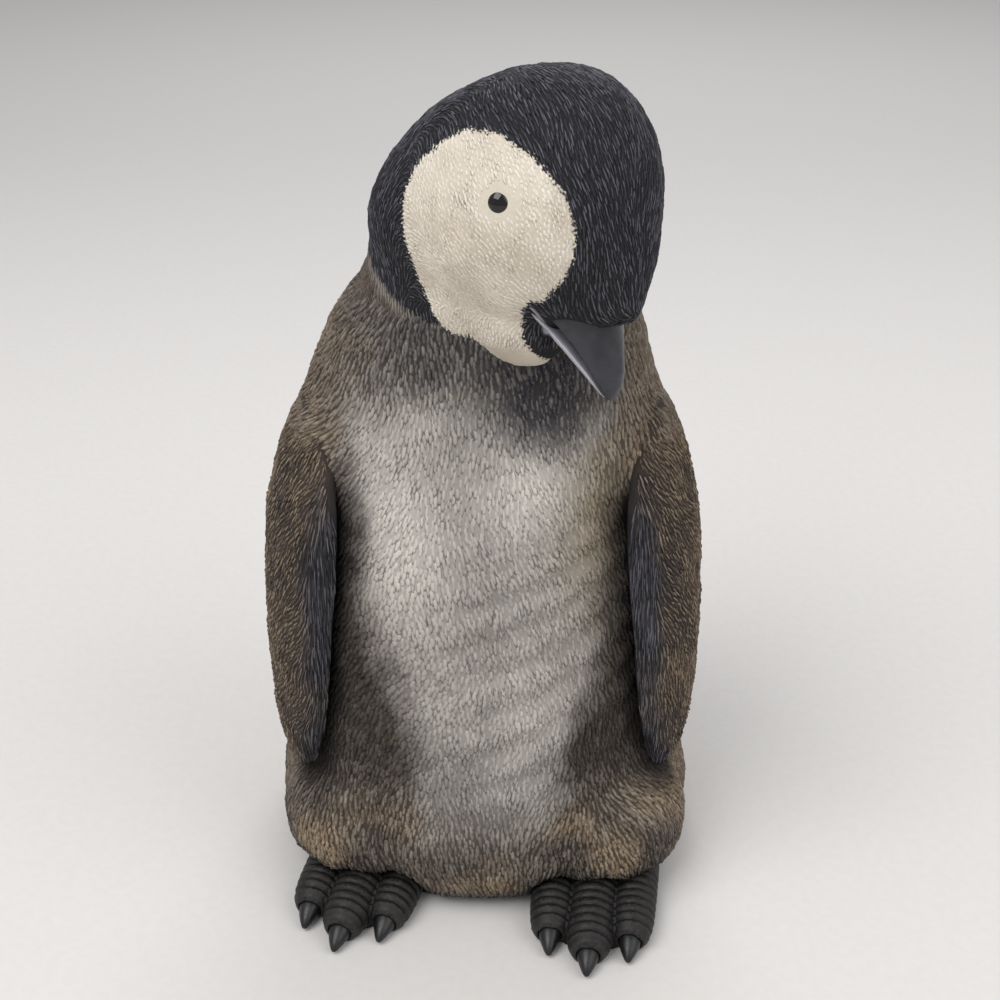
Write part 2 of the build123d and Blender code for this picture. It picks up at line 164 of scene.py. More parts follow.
def relax(values, pairs, rounds, where=None):
    """Average each value with its neighbours' for some rounds. where, 0 to 1, is how far each may follow."""
    flat = values.reshape(len(values), -1)
    counts = np.bincount(pairs.ravel(), minlength=len(flat))[:, None]
    follow = 0.5 if where is None else 0.5 * where[:, None]
    for _ in range(rounds):
        sums = np.stack(
            [
                np.bincount(pairs[:, 0], column[pairs[:, 1]], len(flat))
                + np.bincount(pairs[:, 1], column[pairs[:, 0]], len(flat))
                for column in flat.T
            ],
            axis=1,
        )
        flat = flat + follow * (sums / np.maximum(counts, 1) - flat)
    return flat.reshape(values.shape)


def points_of(mesh):
    """The mesh's points as rows of x, y, z in metres."""
    flat = np.empty(len(mesh.vertices) * 3)
    mesh.vertices.foreach_get("co", flat)
    return flat.reshape(-1, 3)


def normals_of(mesh):
    """The mesh's outward directions, one row for each point."""
    mesh.update()
    flat = np.empty(len(mesh.vertices) * 3)
    mesh.vertex_normals.foreach_get("vector", flat)
    return flat.reshape(-1, 3)


def set_points(mesh, points):
    """Move the mesh's points."""
    mesh.vertices.foreach_set("co", points.astype(np.float32).ravel())
    mesh.update()


def keep(mesh, name, values):
    """Store one number, or one vector, for each point, for the paint to read."""
    kind, field = ("FLOAT", "value") if values.ndim == 1 else ("FLOAT_VECTOR", "vector")
    mesh.attributes.new(name, kind, "POINT").data.foreach_set(field, values.astype(np.float32).ravel())


def finish_piece(mesh, name, material, slot, *nodes):
    """Turn a mesh into a piece that rides on the figure and stands for its castings."""
    mesh.shade_smooth()
    mesh.materials.clear()
    mesh.materials.append(material)
    piece = bpy.data.objects.new(name, mesh)
    bpy.context.scene.collection.objects.link(piece)
    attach(piece, "root")
    if nodes:
        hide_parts(*nodes)
    print(name, "has", sum(len(face.vertices) - 2 for face in mesh.polygons), "triangles")
    return piece


print("the head's casting has", len(points_of(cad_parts["head"].data)), "points")

# %% [markdown]
# ## One way to write a node
# Every paint below is a node tree. One helper adds a node, sets its properties and its inputs, and links
# an input where it is given a socket. Colours are written as sRGB hex, as a paint chart gives them, and
# turned linear once, because a shader adds light and needs linear numbers.
# %% Node helper and colours


def linear(code):
    """A paint chart's hex colour as the linear red, green, blue and alpha that a shader takes."""
    parts = [int(code[i : i + 2], 16) / 255 for i in (1, 3, 5)]
    return [v / 12.92 if v <= 0.04045 else ((v + 0.055) / 1.055) ** 2.4 for v in parts] + [1.0]


def node(tree, kind, settings=None, inputs=None, out=0):
    """Add a node, set or link its inputs, and give back one of its outputs."""
    made = tree.nodes.new(kind)
    for name, value in (settings or {}).items():
        setattr(made, name, value)
    for name, value in (inputs or {}).items():
        if isinstance(value, bpy.types.NodeSocket):
            tree.links.new(value, made.inputs[name])
        elif isinstance(value, str) and value.startswith("#"):
            made.inputs[name].default_value = linear(value)
        else:
            made.inputs[name].default_value = value
    return made.outputs[out]


def new_material(name):
    """An empty material, its tree and its output's surface socket."""
    material = bpy.data.materials.new(name)
    material.use_nodes = True
    material.node_tree.nodes.clear()
    output = material.node_tree.nodes.new("ShaderNodeOutputMaterial")
    return material, material.node_tree, output.inputs["Surface"]


print("middle grey is", round(linear("#808080")[0], 3), "of full light")

# %% [markdown]
# ## Coats of matt paint
# A painter lays one coat over another and decides where each one covers. The next helpers do the same: an
# amount is a pattern or a number stored on the mesh, read through a soft ramp, and a coat covers by the
# product of its amounts. Model acrylic dries matt, so light spreads evenly with only a dull sheen at a low
# angle. The real primer's tooth is finer than 0.1 mm. It is drawn at 0.6 mm, or it wouldn't show. Here and
# below, a pattern's scale is one over the width of its cells.
# %% Amounts, coats and the matt shader
primer_tooth = 0.08 * mm
brush_grain = 1.7 / mm


def amount(tree, source, low=None, high=None, to_low=0.0, to_high=1.0):
    """A number for a shader: a socket, a share, or the name of a stored number, with or without a ramp."""
    if isinstance(source, str):
        source = node(tree, "ShaderNodeAttribute", {"attribute_name": source}, None, "Fac")
    if low is None:
        return source
    ends = {"Value": source, "From Min": low, "From Max": high, "To Min": to_low, "To Max": to_high}
    return node(tree, "ShaderNodeMapRange", {"interpolation_type": "SMOOTHSTEP"}, ends)


def coats(tree, colour, *layers):
    """Lay coats over a colour. Each is a colour, then the amounts whose product is how well it covers."""
    for over, first, *others in layers:
        share = amount(tree, *first)
        for other in others:
            factors = {0: share, 1: amount(tree, *other)}
            share = node(tree, "ShaderNodeMath", {"operation": "MULTIPLY"}, factors)
        colour = node(tree, "ShaderNodeMix", {"data_type": "RGBA"}, {0: share, 6: colour, 7: over}, 2)
    return colour


def matt(tree, colour, height, roughness):
    """Matt paint with that colour over the primer's tooth."""
    tooth = {"Strength": 1.0, "Distance": primer_tooth, "Height": height}
    inputs = {"Base Color": colour, "Roughness": roughness, "IOR": 1.45, "Specular IOR Level": 0.3}
    inputs["Normal"] = node(tree, "ShaderNodeBump", None, tooth)
    return node(tree, "ShaderNodeBsdfPrincipled", None, inputs)


print("primer's tooth:", primer_tooth / mm, "mm deep and", round(1 / brush_grain / mm, 1), "mm wide")

# %% [markdown]
# ## Tufts of down
# The sculptor laid the down on as thousands of small overlapping tufts, each a short ridge with a blunt
# tip. They could be painted on, but then no light would catch them and the outline would stay smooth. So
# one tuft is modelled with a dozen triangles, and Geometry Nodes scatter it.
# %% One tuft
tuft_stations = [(-0.22, 0.46, 0.85), (0.20, 0.45, 1.00)]
tuft_sink = -0.45
tuft_tip_rise = 0.30


def one_tuft():
    """A closed ridge of unit width, length and height. It points along +Y, and its rim is under the skin."""
    points, rises = [(0, -0.5, tuft_sink)], [0.1]
    for along, half_width, crest in tuft_stations:
        points += [(-half_width, along, tuft_sink), (0, along, crest), (half_width, along, tuft_sink)]
        rises += [0.0, 1.0, 0.0]
    points.append((0, 0.5, tuft_tip_rise))
    rises.append(0.7)
    tip = len(points) - 1
    faces = []
    for a, b in ((0, 1), (1, 2), (2, 0)):
        faces += [(0, 1 + a, 1 + b), (tip, tip - 3 + b, tip - 3 + a)]
        for ring in range(1, tip - 3, 3):
            faces.append((ring + a, ring + 3 + a, ring + 3 + b))
            faces.append((ring + a, ring + 3 + b, ring + b))
    mesh = bpy.data.meshes.new("tuft")
    mesh.from_pydata(points, [], faces)
    work = bmesh.new()
    work.from_mesh(mesh)
    bmesh.ops.recalc_face_normals(work, faces=work.faces)
    work.to_mesh(mesh)
    work.free()
    keep(mesh, "rise", np.array(rises))
    return bpy.data.objects.new("tuft", mesh)


tuft = one_tuft()
print("one tuft has", len(tuft.data.polygons), "triangles")

# %% [markdown]
# A Poisson scatter keeps the tufts evenly apart, as a patient hand does. Each one stands on the skin,
# turns along the flow that the skin stores, and differs a little in size. Once they are real, one soft
# noise bends them all, so that no two look alike. The sizes are inputs of the tree, so that body, head and
# flippers share it, and every random choice has a fixed seed.
# %% The tree that scatters tufts
crowding = 3.0
smallest_tuft = (0.75, 0.7, 0.6)
largest_tuft = (1.25, 1.35, 1.4)
bend_scale = 0.45 / mm
tone_seed = 7


def tuft_tree():
    """Points on a skin, a turned and scaled tuft on each, and one bend over all of them."""
    tree = bpy.data.node_groups.new("scatter_tufts", "GeometryNodeTree")
    wanted = {
        "Skin": "Geometry",
        "Tuft": "Object",
        "Spacing": "Float",
        "Tuft size": "Vector",
        "Bend": "Float",
        "Seed": "Int",
        "Paint": "Material",
    }
    for name, kind in wanted.items():
        tree.interface.new_socket(name, in_out="INPUT", socket_type="NodeSocket" + kind)
    tree.interface.new_socket("Tufts", in_out="OUTPUT", socket_type="NodeSocketGeometry")
    given = tree.nodes.new("NodeGroupInput").outputs
    crowd = node(tree, "ShaderNodeMath", {"operation": "POWER"}, {0: given["Spacing"], 1: -2.0})
    crowd = node(tree, "ShaderNodeMath", {"operation": "MULTIPLY"}, {0: crowd, 1: crowding})
    thin = node(tree, "GeometryNodeInputNamedAttribute", None, {"Name": "tufted"})
    inputs = {"Mesh": given["Skin"], "Distance Min": given["Spacing"], "Density Max": crowd}
    inputs |= {"Density Factor": thin, "Seed": given["Seed"]}
    spots = node(tree, "GeometryNodeDistributePointsOnFaces", {"distribute_method": "POISSON"}, inputs)
    of_vectors = {"data_type": "FLOAT_VECTOR"}
    flow = node(tree, "GeometryNodeInputNamedAttribute", of_vectors, {"Name": "flow"})
    axes = {"Primary Axis": spots.node.outputs["Normal"], "Secondary Axis": flow}
    turned = node(tree, "FunctionNodeAxesToRotation", {"primary_axis": "Z", "secondary_axis": "Y"}, axes)
    size = node(tree, "GeometryNodeInputNamedAttribute", of_vectors, {"Name": "tuft_scale"})
    times = {"operation": "MULTIPLY"}
    size = node(tree, "ShaderNodeVectorMath", times, {0: size, 1: given["Tuft size"]})
    ends = {0: smallest_tuft, 1: largest_tuft, "Seed": given["Seed"]}
    uneven = node(tree, "FunctionNodeRandomValue", of_vectors, ends)
    size = node(tree, "ShaderNodeVectorMath", times, {0: size, 1: uneven})
    shape = node(tree, "GeometryNodeObjectInfo", None, {"Object": given["Tuft"]}, "Geometry")
    placed = {"Points": spots, "Instance": shape, "Rotation": turned, "Scale": size}
    tufts = node(tree, "GeometryNodeInstanceOnPoints", None, placed)
    chance = node(tree, "FunctionNodeRandomValue", {"data_type": "FLOAT"}, {"Seed": tone_seed}, 1)
    tone = {"Geometry": tufts, "Name": "tone", "Value": chance}
    tufts = node(tree, "GeometryNodeStoreNamedAttribute", {"domain": "INSTANCE"}, tone)
    tufts = node(tree, "GeometryNodeRealizeInstances", None, {"Geometry": tufts})
    place = node(tree, "GeometryNodeInputPosition")
    waves = {"Vector": place, "Scale": bend_scale, "Detail": 1.0}
    drift = node(tree, "ShaderNodeTexNoise", None, waves, "Color")
    drift = node(tree, "ShaderNodeVectorMath", {"operation": "SUBTRACT"}, {0: drift, 1: (0.5, 0.5, 0.5)})
    drift = node(tree, "ShaderNodeVectorMath", {"operation": "SCALE"}, {0: drift, "Scale": given["Bend"]})
    tufts = node(tree, "GeometryNodeSetPosition", None, {"Geometry": tufts, "Offset": drift})
    tufts = node(tree, "GeometryNodeSetMaterial", None, {"Geometry": tufts, "Material": given["Paint"]})
    result = tree.nodes.new("NodeGroupOutput")
    tree.links.new(tufts, result.inputs["Tufts"])
    return tree


scatter = tuft_tree()
print("the tree has", len(scatter.nodes), "nodes")

# %% [markdown]
# Each piece can be painted onto a flat map. Thousands of loose tufts would leave such a map nearly
# empty, so they get one of their own, a chequerboard with a square for each tuft.
# %% Scattering and the map of the tufts
# Each pair is where the tuft's sides start in their square and how far they reach, as shares of it.
map_across = (0.06, 0.88)
map_hidden = (0.08, 0.16)
map_visible = (0.30, 0.62)


def map_tufts(mesh):
    """Give each tuft a square of the map, its visible sides above and its hidden one below."""
    flat = np.array([point.co for point in tuft.data.vertices])
    count = len(tuft.data.polygons)
    corners = np.array([list(face.vertices) for face in tuft.data.polygons])
    unit = np.stack([flat[corners][..., 0] + 0.5, flat[corners][..., 1] + 0.5], axis=-1)
    hidden = np.array([face.normal.z < 0 for face in tuft.data.polygons])
    for faces, (start, extent) in ((hidden, map_hidden), (~hidden, map_visible)):
        unit[faces, :, 1] = start + extent * unit[faces, :, 1]
    unit[..., 0] = map_across[0] + map_across[1] * unit[..., 0]
    total = len(mesh.polygons) // count
    side = int(np.ceil(np.sqrt(total)))
    cell = np.stack([np.arange(total) % side, np.arange(total) // side], axis=-1)
    spread_map = (cell[:, None, None, :] + unit[None]) / side
    layer = mesh.uv_layers.new(name="OFBake")
    layer.data.foreach_set("uv", spread_map.astype(np.float32).ravel())


def scatter_tufts(name, skin_mesh, paint, size, spacing, bend, seed):
    """A mesh of tufts over a skin that stores where they grow, how they lie and how large they are."""
    helper = bpy.data.objects.new(name + "_helper", skin_mesh)
    bpy.context.scene.collection.objects.link(helper)
    modifier = helper.modifiers.new("tufts", "NODES")
    modifier.node_group = scatter
    values = {"Tuft": tuft, "Spacing": spacing, "Tuft size": size, "Bend": bend, "Seed": seed}
    values["Paint"] = paint
    for label, value in values.items():
        modifier[scatter.interface.items_tree[label].identifier] = value
    graph = bpy.context.evaluated_depsgraph_get()
    made = bpy.data.meshes.new_from_object(helper.evaluated_get(graph))
    made.name = name
    helper.modifiers.clear()
    bpy.data.objects.remove(helper)
    map_tufts(made)
    print(name, "has", len(made.polygons) // len(tuft.data.polygons), "tufts")
    return made


def lay_flat(ways, normals):
    """The part of each way that lies in the skin, with a length of 1."""
    flat = ways - normals * (ways * normals).sum(axis=1)[:, None]
    return flat / np.maximum(np.linalg.norm(flat, axis=1), 1e-6)[:, None]


print("a way laid flat:", lay_flat(np.array([[1.0, 1.0, 0.0]]), np.array([[0.0, 1.0, 0.0]])))

# %% [markdown]
# ## The body's paint
# Matt acrylic over primed resin: warm grey on the breast, taupe on the flanks, dry-brushed tan at the hem,
# and near-black painted shade in the clefts beside the flippers. To the eye it is soft and dusty, with no
# shine at all. The same paint has two forms: on the raised tufts the crests are worn pale, and on the ground
# between them the wash has settled, darkened further as painted shade between the tufts. The washes dried
# in patches some 11 mm wide.
# %% Body paint
wash_patch = 0.09 / mm


def body_paint(name, raised):
    """Warm grey breast, taupe flanks and tan hem, for the raised tufts or for the ground between them."""
    material, tree, surface = new_material(name)
    place = node(tree, "ShaderNodeTexCoord", out="Object")
    patch = node(tree, "ShaderNodeTexNoise", None, {"Vector": place, "Scale": wash_patch, "Detail": 3.0})
    grain = node(tree, "ShaderNodeTexNoise", None, {"Vector": place, "Scale": brush_grain, "Detail": 4.0})
    blotches = (patch, 0.35, 0.65)
    tan = coats(tree, "#776753", ("#927f67", (grain, 0.35, 0.65)))
    # The breast's brightest coat is painted light, in three places on the pale breast.
    breast = coats(tree, "#8b8680", ("#a39e98", blotches), ("#c9c2bb", ("glow",)))
    flanks = coats(tree, "#463e38", ("#62574d", blotches), (tan, ("tan",)), ("#524f4f", ("collar",)))
    # The last of these coats, a dark blue-grey, is painted shade under the chin and over the toes.
    colour = coats(tree, flanks, (breast, ("pale",)), ("#8f7b57", ("ochre",)), ("#2d2d33", ("smudge",)))
    # The dark coat below is the wash and also painted shade: over the ground between the tufts, and on the
    # tufts' rims where they meet the skin.
    wash_and_painted_shade = [("pale", 0.0, 1.0, 0.75, 0.24)]
    if raised:
        lighter = ("#d8cfc2", ("tone", 0.45, 1.0, 0.0, 0.12))
        darker = ("#3b342f", ("tone", 0.55, 0.0, 0.0, 0.17))
        worn = ("#cbc4b9", ("rise", 0.6, 1.0), (grain, 0.45, 0.7, 0.0, 0.25))
        colour = coats(tree, colour, lighter, darker, worn)
        wash_and_painted_shade.append(("rise", 0.0, 0.45, 1.0, 0.0))
    # The near-black coat is painted shade in the clefts beside the flippers and on the flanks.
    colour = coats(tree, colour, ("#2e2926", *wash_and_painted_shade), ("#171413", ("cleft",)))
    tree.links.new(matt(tree, colour, grain, 0.82), surface)
    return material


body_ground = body_paint("acrylic_with_wash_and_painted_shade_on_body", False)
body_tufts_paint = body_paint("dry_brushed_acrylic_on_body_tufts", True)
print("the body's paints:", body_ground.name, "and", body_tufts_paint.name)

# %% [markdown]
# ## The body
# From the hem to the shoulders the figure is close to a tall oval drum with two thigh swells and a tail
# stub. Rings of rays from the middle line catch all of that in one even grid. It also runs over the tops
# of the flippers, which the sculptor blended into the shoulders. Above them the grid leans after the neck
# and closes inside the hood. Then it is relaxed, so that the castings run into each other as they do under
# real down.
# %% Body skin
ring_points = 430
body_rows = 190
collar_rows = 34
lowest_ring = 0.15 * mm
collar_height = 104 * mm
body_top = 122 * mm
axis_y = 1.7 * mm
neck_start = 100 * mm
neck_lean = np.array([0.24, -0.24, 0.0])
sink_start = 113 * mm
sink_slope = 0.35
cover_low = 80 * mm
cover_high = 90 * mm
flipper_cover = 0.3 * mm
body_rounds = 14
neck_rounds = 90

heights = [
    *np.linspace(lowest_ring, collar_height, body_rows),
    *np.linspace(collar_height, body_top, collar_rows)[1:],
]
angles = np.linspace(0, 2 * np.pi, ring_points, endpoint=False)
ways = np.stack([np.sin(angles), -np.cos(angles), np.zeros(ring_points)], axis=1)
flippers_tree = surface_of("flipper_right", "flipper_left")

rings = []
radii = None
for height in heights:
    middle = np.array([0, axis_y, height]) + neck_lean * max(0.0, height - neck_start)
    centres = np.tile(middle, (ring_points, 1))
    found = cast_in(outer, centres, ways)
    share = smooth_step(cover_low, cover_high, height)
    if share > 0 and height < neck_start:
        blade = cast_in(flippers_tree, centres, ways) + flipper_cover
        found += share * np.maximum(blade - found, 0)
    if height > collar_height:
        found = np.minimum(found, radii)
    radii = found
    rings.append(centres + ways * (found - sink_slope * max(0.0, height - sink_start))[:, None])


def ring_mesh(name, rings):
    """A closed skin from a stack of rings, with a point at the middle of each end."""
    around = len(rings[0])
    points = np.concatenate([rings[0].mean(0)[None], *rings, rings[-1].mean(0)[None]])
    start = 1 + np.arange(len(rings))[:, None] * around + np.arange(around)
    beside = np.roll(start, -1, axis=1)
    quads = np.stack([start[:-1], beside[:-1], beside[1:], start[1:]], axis=-1).reshape(-1, 4)
    low = [(0, b, a) for a, b in zip(start[0], beside[0])]
    high = [(len(points) - 1, a, b) for a, b in zip(start[-1], beside[-1])]
    mesh = bpy.data.meshes.new(name)
    mesh.from_pydata(points.tolist(), [], [*map(tuple, quads.tolist()), *low, *high])
    return mesh


body = ring_mesh("down_body", rings)
body_pairs = edge_pairs(body)
above_ground = smooth_step(0.5 * mm, 2 * mm, points_of(body)[:, 2])
set_points(body, relax(points_of(body), body_pairs, body_rounds, above_ground))
neck_zone = smooth_step(94 * mm, 101 * mm, points_of(body)[:, 2])
neck_zone *= 1 - smooth_step(110 * mm, 114 * mm, points_of(body)[:, 2])
set_points(body, relax(points_of(body), body_pairs, neck_rounds, neck_zone))
print("body skin is", in_mm(np.ptp(points_of(body), axis=0)), "mm")

# %% [markdown]
# The sculptor worked the down in three sizes: folds of skin that sweep up over the belly, lumps of down a
# few millimetres wide, and the fine tufts. The first two move the mesh here, and the tufts are set on it
# later. From here on, x, y and z are in millimetres, because the shapes below were measured so.
# %% Folds and lumps of the body
fold_pitch = 7.4
fold_height = 0.26
fold_curve = 0.010
fold_middle_x = -12
fold_waver = 2.2
lump_stretch = 0.6

points = points_of(body)
on_body = points / mm
x, y, z = on_body.T
front = smooth_step(0, 22, -y)
turn = np.arctan2(x, -(y - axis_y / mm))

fold_line = z - fold_curve * (x - fold_middle_x) ** 2 + fold_waver * bumps(on_body, 17, 5)
fold_zone = front * smooth_step(22, 34, z) * (1 - smooth_step(70, 84, z)) * smooth_step(-16, 4, x)
folds = fold_height * np.sin(fold_line * 2 * np.pi / fold_pitch) * fold_zone
tall = np.stack([x, y, z * lump_stretch], axis=1)
lumps = all_bumps(tall, (0.34, 6.5, 6), (0.17, 2.6, 7), (0.10, 1.4, 8))
lift = (folds + lumps * (1 - 0.45 * front)) * smooth_step(0.3, 3, z)
set_points(body, points + normals_of(body) * (lift * mm)[:, None])
print("folds and lumps move the skin by", lift.min().round(2), "to", lift.max().round(2), "mm")

# %% [markdown]
# ## Where each paint goes
# A painter changes colour along soft, wandering edges. So each region is a patch measured on the figure in
# millimetres, with a waver in its edges: the pale breast with three brighter places of painted light, the
# tan of hem and shoulders, an ochre stain, a grey collar under the hood, painted shade under the chin and
# over the toes, and painted shade in the clefts beside the flippers and on the flanks. Each is stored on
# the mesh, so that it follows the form.
# %% Regions of the body's paint


def above(edge, values):
    """1 above a soft edge, given by where it starts and where it ends."""
    return smooth_step(*edge, values)


def below(edge, values):
    """1 below a soft edge."""
    return 1 - smooth_step(*edge, values)


def spot(middle_x, spread_x, middle_z, spread_z, heights):
    """A soft spot seen from the front, 1 in its middle."""
    return np.exp(-(((x - middle_x) / spread_x) ** 2) - ((heights - middle_z) / spread_z) ** 2)


feet_tree = surface_of("foot_right", "foot_left")
near_flippers = distance_to(flippers_tree, points)
near_feet = distance_to(feet_tree, points)
waver = all_bumps(on_body, (3.0, 9, 11), (1.4, 3, 12))

right_half = 11 + 12 * above((34, 78), z)
left_half = 14 + 9 * above((22, 66), z)
breast_half = np.where(x < 0, right_half, left_half)
pale = front * above((-4, 5), breast_half - np.abs(x + 0.5) + waver)
pale *= above((10, 30), z + waver) * below((96, 106), z + waver)
# Painted light: three brighter places on the pale breast.
glow = spot(-13, 9, 76, 17, z) + spot(8, 7, 86, 8, z)
glow = pale * np.clip(glow + 0.5 * spot(8, 9, 50, 14, z), 0, 1)

hem = above((3, 8), z + waver * 0.6) * below((17, 28), z + waver)
hem_patches = above((-0.25, 0.5), bumps(on_body, 11, 13))
shoulders = above((80, 92), z + waver) * below((104, 112), z) * (0.35 + 0.65 * front)
tan = np.clip((hem * hem_patches * (0.35 + 0.55 * front) + 0.55 * shoulders) * (1 - pale), 0, 1)
ochre = front * spot(20, 7, 78, 15, z + 0.5 * waver) * 0.5
collar = above((97, 104), z + 0.6 * waver) * above((-4, 12), 26 - np.abs(x) + waver) * front

# Painted shade under the chin, and at the foot of the hem and over the toes near the feet.
under_chin = np.hypot((x - 12) / 14, (z - 101) / 11) + waver * 0.05
smudge = front * below((0.3, 1.2), under_chin) * 0.95
painted_shade_over_toes = np.maximum(below((1.5, 6.5), z + waver * 0.4), 0.85 - 0.85 * above((0.8, 4.0), near_feet))
# Painted shade in the clefts beside the flippers, and weaker on the flanks between them and the breast.
cleft = below((1.0, 7.5), near_flippers + waver * 0.5) * below((78, 90), z) * 0.9
painted_flank_shade = front * (1 - pale) * above((24, 34), z) * below((64, 80), z + waver)

regions = {"pale": pale, "glow": glow, "tan": tan, "ochre": ochre, "collar": collar}
regions["smudge"] = np.maximum(smudge, painted_shade_over_toes)
regions["cleft"] = np.maximum(cleft, 0.62 * painted_flank_shade)
for name, values in regions.items():
    keep(body, name, values)
    print(name, "covers", round(100 * float(values.mean())), "% of the body")

# %% [markdown]
# The tufts need to know how they lie. They hang down everywhere, lean outwards on the chick's right side,
# and sway with two sizes of noise. Low on the belly they are broad and rounded, almost scales. None grow
# where a flipper covers the skin, inside the hood, or so low that they would meet the ground.
# %% Flow and size of the body's tufts
body_tuft_size = (0.98 * mm, 2.4 * mm, 0.24 * mm)
body_spacing = 0.82 * mm
tuft_bend = 0.5 * mm
flipper_gap = 0.9
lowest_tuft = 2.4
highest_tuft = 115.5
lean_right = 0.6
lean_left = 0.15
down_way = np.array([0, 0, -1.0])

outwards = lean_right * above((4, 30), -x) * above((20, 55), z) - lean_left * above((10, 30), x)
sway = all_bumps(on_body, (0.28, 13, 41), (0.22, 4, 42))
sideways = np.stack([np.cos(turn), np.sin(turn), np.zeros(len(turn))], axis=1)
keep(body, "flow", lay_flat(sideways * (sway - outwards)[:, None] + down_way, normals_of(body)))

broad = front * spot(-15, 10, 50, 18, z)
coarse = 1 + 0.15 * (1 - pale) + 0.15 * bumps(on_body, 8, 43)
width = coarse * (1 + 0.7 * broad)
length = coarse * (1 - 0.2 * broad)
height = coarse * (1 + 0.2 * broad) * (1 - 0.25 * pale)
keep(body, "tuft_scale", np.stack([width, length, height], axis=1))

covered = (near_flippers < flipper_gap) & (z < cover_low / mm + 2)
grows = (z > lowest_tuft) & (z < highest_tuft) & ~covered
keep(body, "tufted", grows.astype(float))
in_front = y < axis_y / mm
for part, seed, side in (("front", 51, in_front), ("back", 52, ~in_front)):
    name = "body_tufts_" + part
    body.attributes["tufted"].data.foreach_set("value", (grows & side).astype(np.float32))
    tufts = scatter_tufts(name, body, body_tufts_paint, body_tuft_size, body_spacing, tuft_bend, seed)
    finish_piece(tufts, name, body_tufts_paint, "plumage_paint")
finish_piece(body, "down_body", body_ground, "plumage_paint", "torso_shell", "tail")

# %% [markdown]
# ## The head's paint
# A near-black cap with a violet cast, dry-brushed so lightly that only the crests show, and a cream mask
# that was stippled for a soft nap. The cap swallows light, and the mask looks like felt. The skin stores
# its distance to the mask's outline. A nap of cells about 0.5 mm wide moves that edge to and fro by 0.3
# mm, so that it looks like the ends of hairs and not like a cut.
# %% Head paint
nap_grain = 2.2 / mm
cream_patch = 0.13 / mm
ragged_by = 0.3


def head_paint(name, raised):
    """Black cap and cream mask, for the raised tufts or for the ground between them."""
    material, tree, surface = new_material(name)
    place = node(tree, "ShaderNodeTexCoord", out="Object")
    nap = node(tree, "ShaderNodeTexNoise", None, {"Vector": place, "Scale": nap_grain, "Detail": 5.0})
    patch = node(tree, "ShaderNodeTexNoise", None, {"Vector": place, "Scale": cream_patch, "Detail": 2.0})
    cap = coats(tree, "#242428", ("#544b44", ("nape",)), ("#938c84", ("band",)))
    cream = coats(tree, "#e2dacd", ("#d3c9bb", (patch, 0.35, 0.65)))
    if raised:
        crests = coats(tree, "#6f6e78", ("#776c60", ("nape",)))
        brushed = (crests, ("rise", 0.35, 1.0), ("tone", 0.3, 1.0, 0.08, 0.75))
        lighter = ("#f1ece3", ("tone", 0.6, 1.0, 0.0, 0.35))
        # The tufts' bases are darker: wash, and painted shade where they meet the skin.
        cap = coats(tree, cap, brushed, ("#0f0f11", ("rise", 0.0, 0.4, 0.7, 0.0)))
        cream = coats(tree, cream, lighter, ("#a5987f", ("rise", 0.0, 0.5, 0.35, 0.0)))
    else:
        # The ground between the tufts is darker: wash, and painted shade between them.
        cap = coats(tree, cap, ("#0f0f11", (0.6,)))
        cream = coats(tree, cream, ("#a5987f", (0.30,)))
    cream = coats(tree, cream, ("#b7aa94", (nap, 0.35, 0.6, 0.15, 0.0)))
    moved = {0: amount(tree, "mask"), 1: amount(tree, nap, 0.3, 0.7, -ragged_by, ragged_by)}
    ragged = node(tree, "ShaderNodeMath", {"operation": "ADD"}, moved)
    colour = coats(tree, cap, (cream, (ragged, -0.15, 0.15)), ("#96939c", ("gape",)))
    tree.links.new(matt(tree, colour, nap, 0.7), surface)
    return material


head_ground = head_paint("acrylic_with_wash_and_painted_shade_on_head", False)
head_tufts_paint = head_paint("dry_brushed_acrylic_on_head_tufts", True)
print("the head's paints:", head_ground.name, "and", head_tufts_paint.name)

# %% [markdown]
# ## The head
# The head looks down and to one side, so it has its own axes: along the bill, towards the crown and
# towards the right cheek. Its skin is a cube whose faces are divided finely and blown up to a ball, which
# has no poles. Its rays run to the middle of the head. Where a ray falls into the seat of the bill or of
# an eye, the skin is bridged: the points around it are averaged until it closes like a drum.
# %% Head skin
head_middle = np.array([7.6, -15.0, 134.5]) * mm
bill_way = np.array([0.3353, -0.3847, -0.8600])
crown_way = np.array([0.7987, -0.3681, 0.4760])
cheek_way = np.array([-0.4997, -0.8465, 0.1838])
head_axes = np.stack([bill_way, crown_way, cheek_way])
head_cuts = 122
rim_rounds = 10
rim_share = 0.02
seat_reach = 15 * mm
bridge_reach = 18 * mm
bridge_rounds = 700
head_rounds = 10
hood_floor = 105 * mm
hood_inset = 0.8


def ball_mesh(name, cuts):
    """A unit ball of even squares, from a divided cube."""
    work = bmesh.new()
    bmesh.ops.create_cube(work, size=2.0)
    bmesh.ops.subdivide_edges(work, edges=work.edges[:], cuts=cuts, use_grid_fill=True)
    mesh = bpy.data.meshes.new(name)
    work.to_mesh(mesh)
    work.free()
    points = np.tan(points_of(mesh) * np.pi / 4)
    set_points(mesh, points / np.linalg.norm(points, axis=1)[:, None])
    return mesh


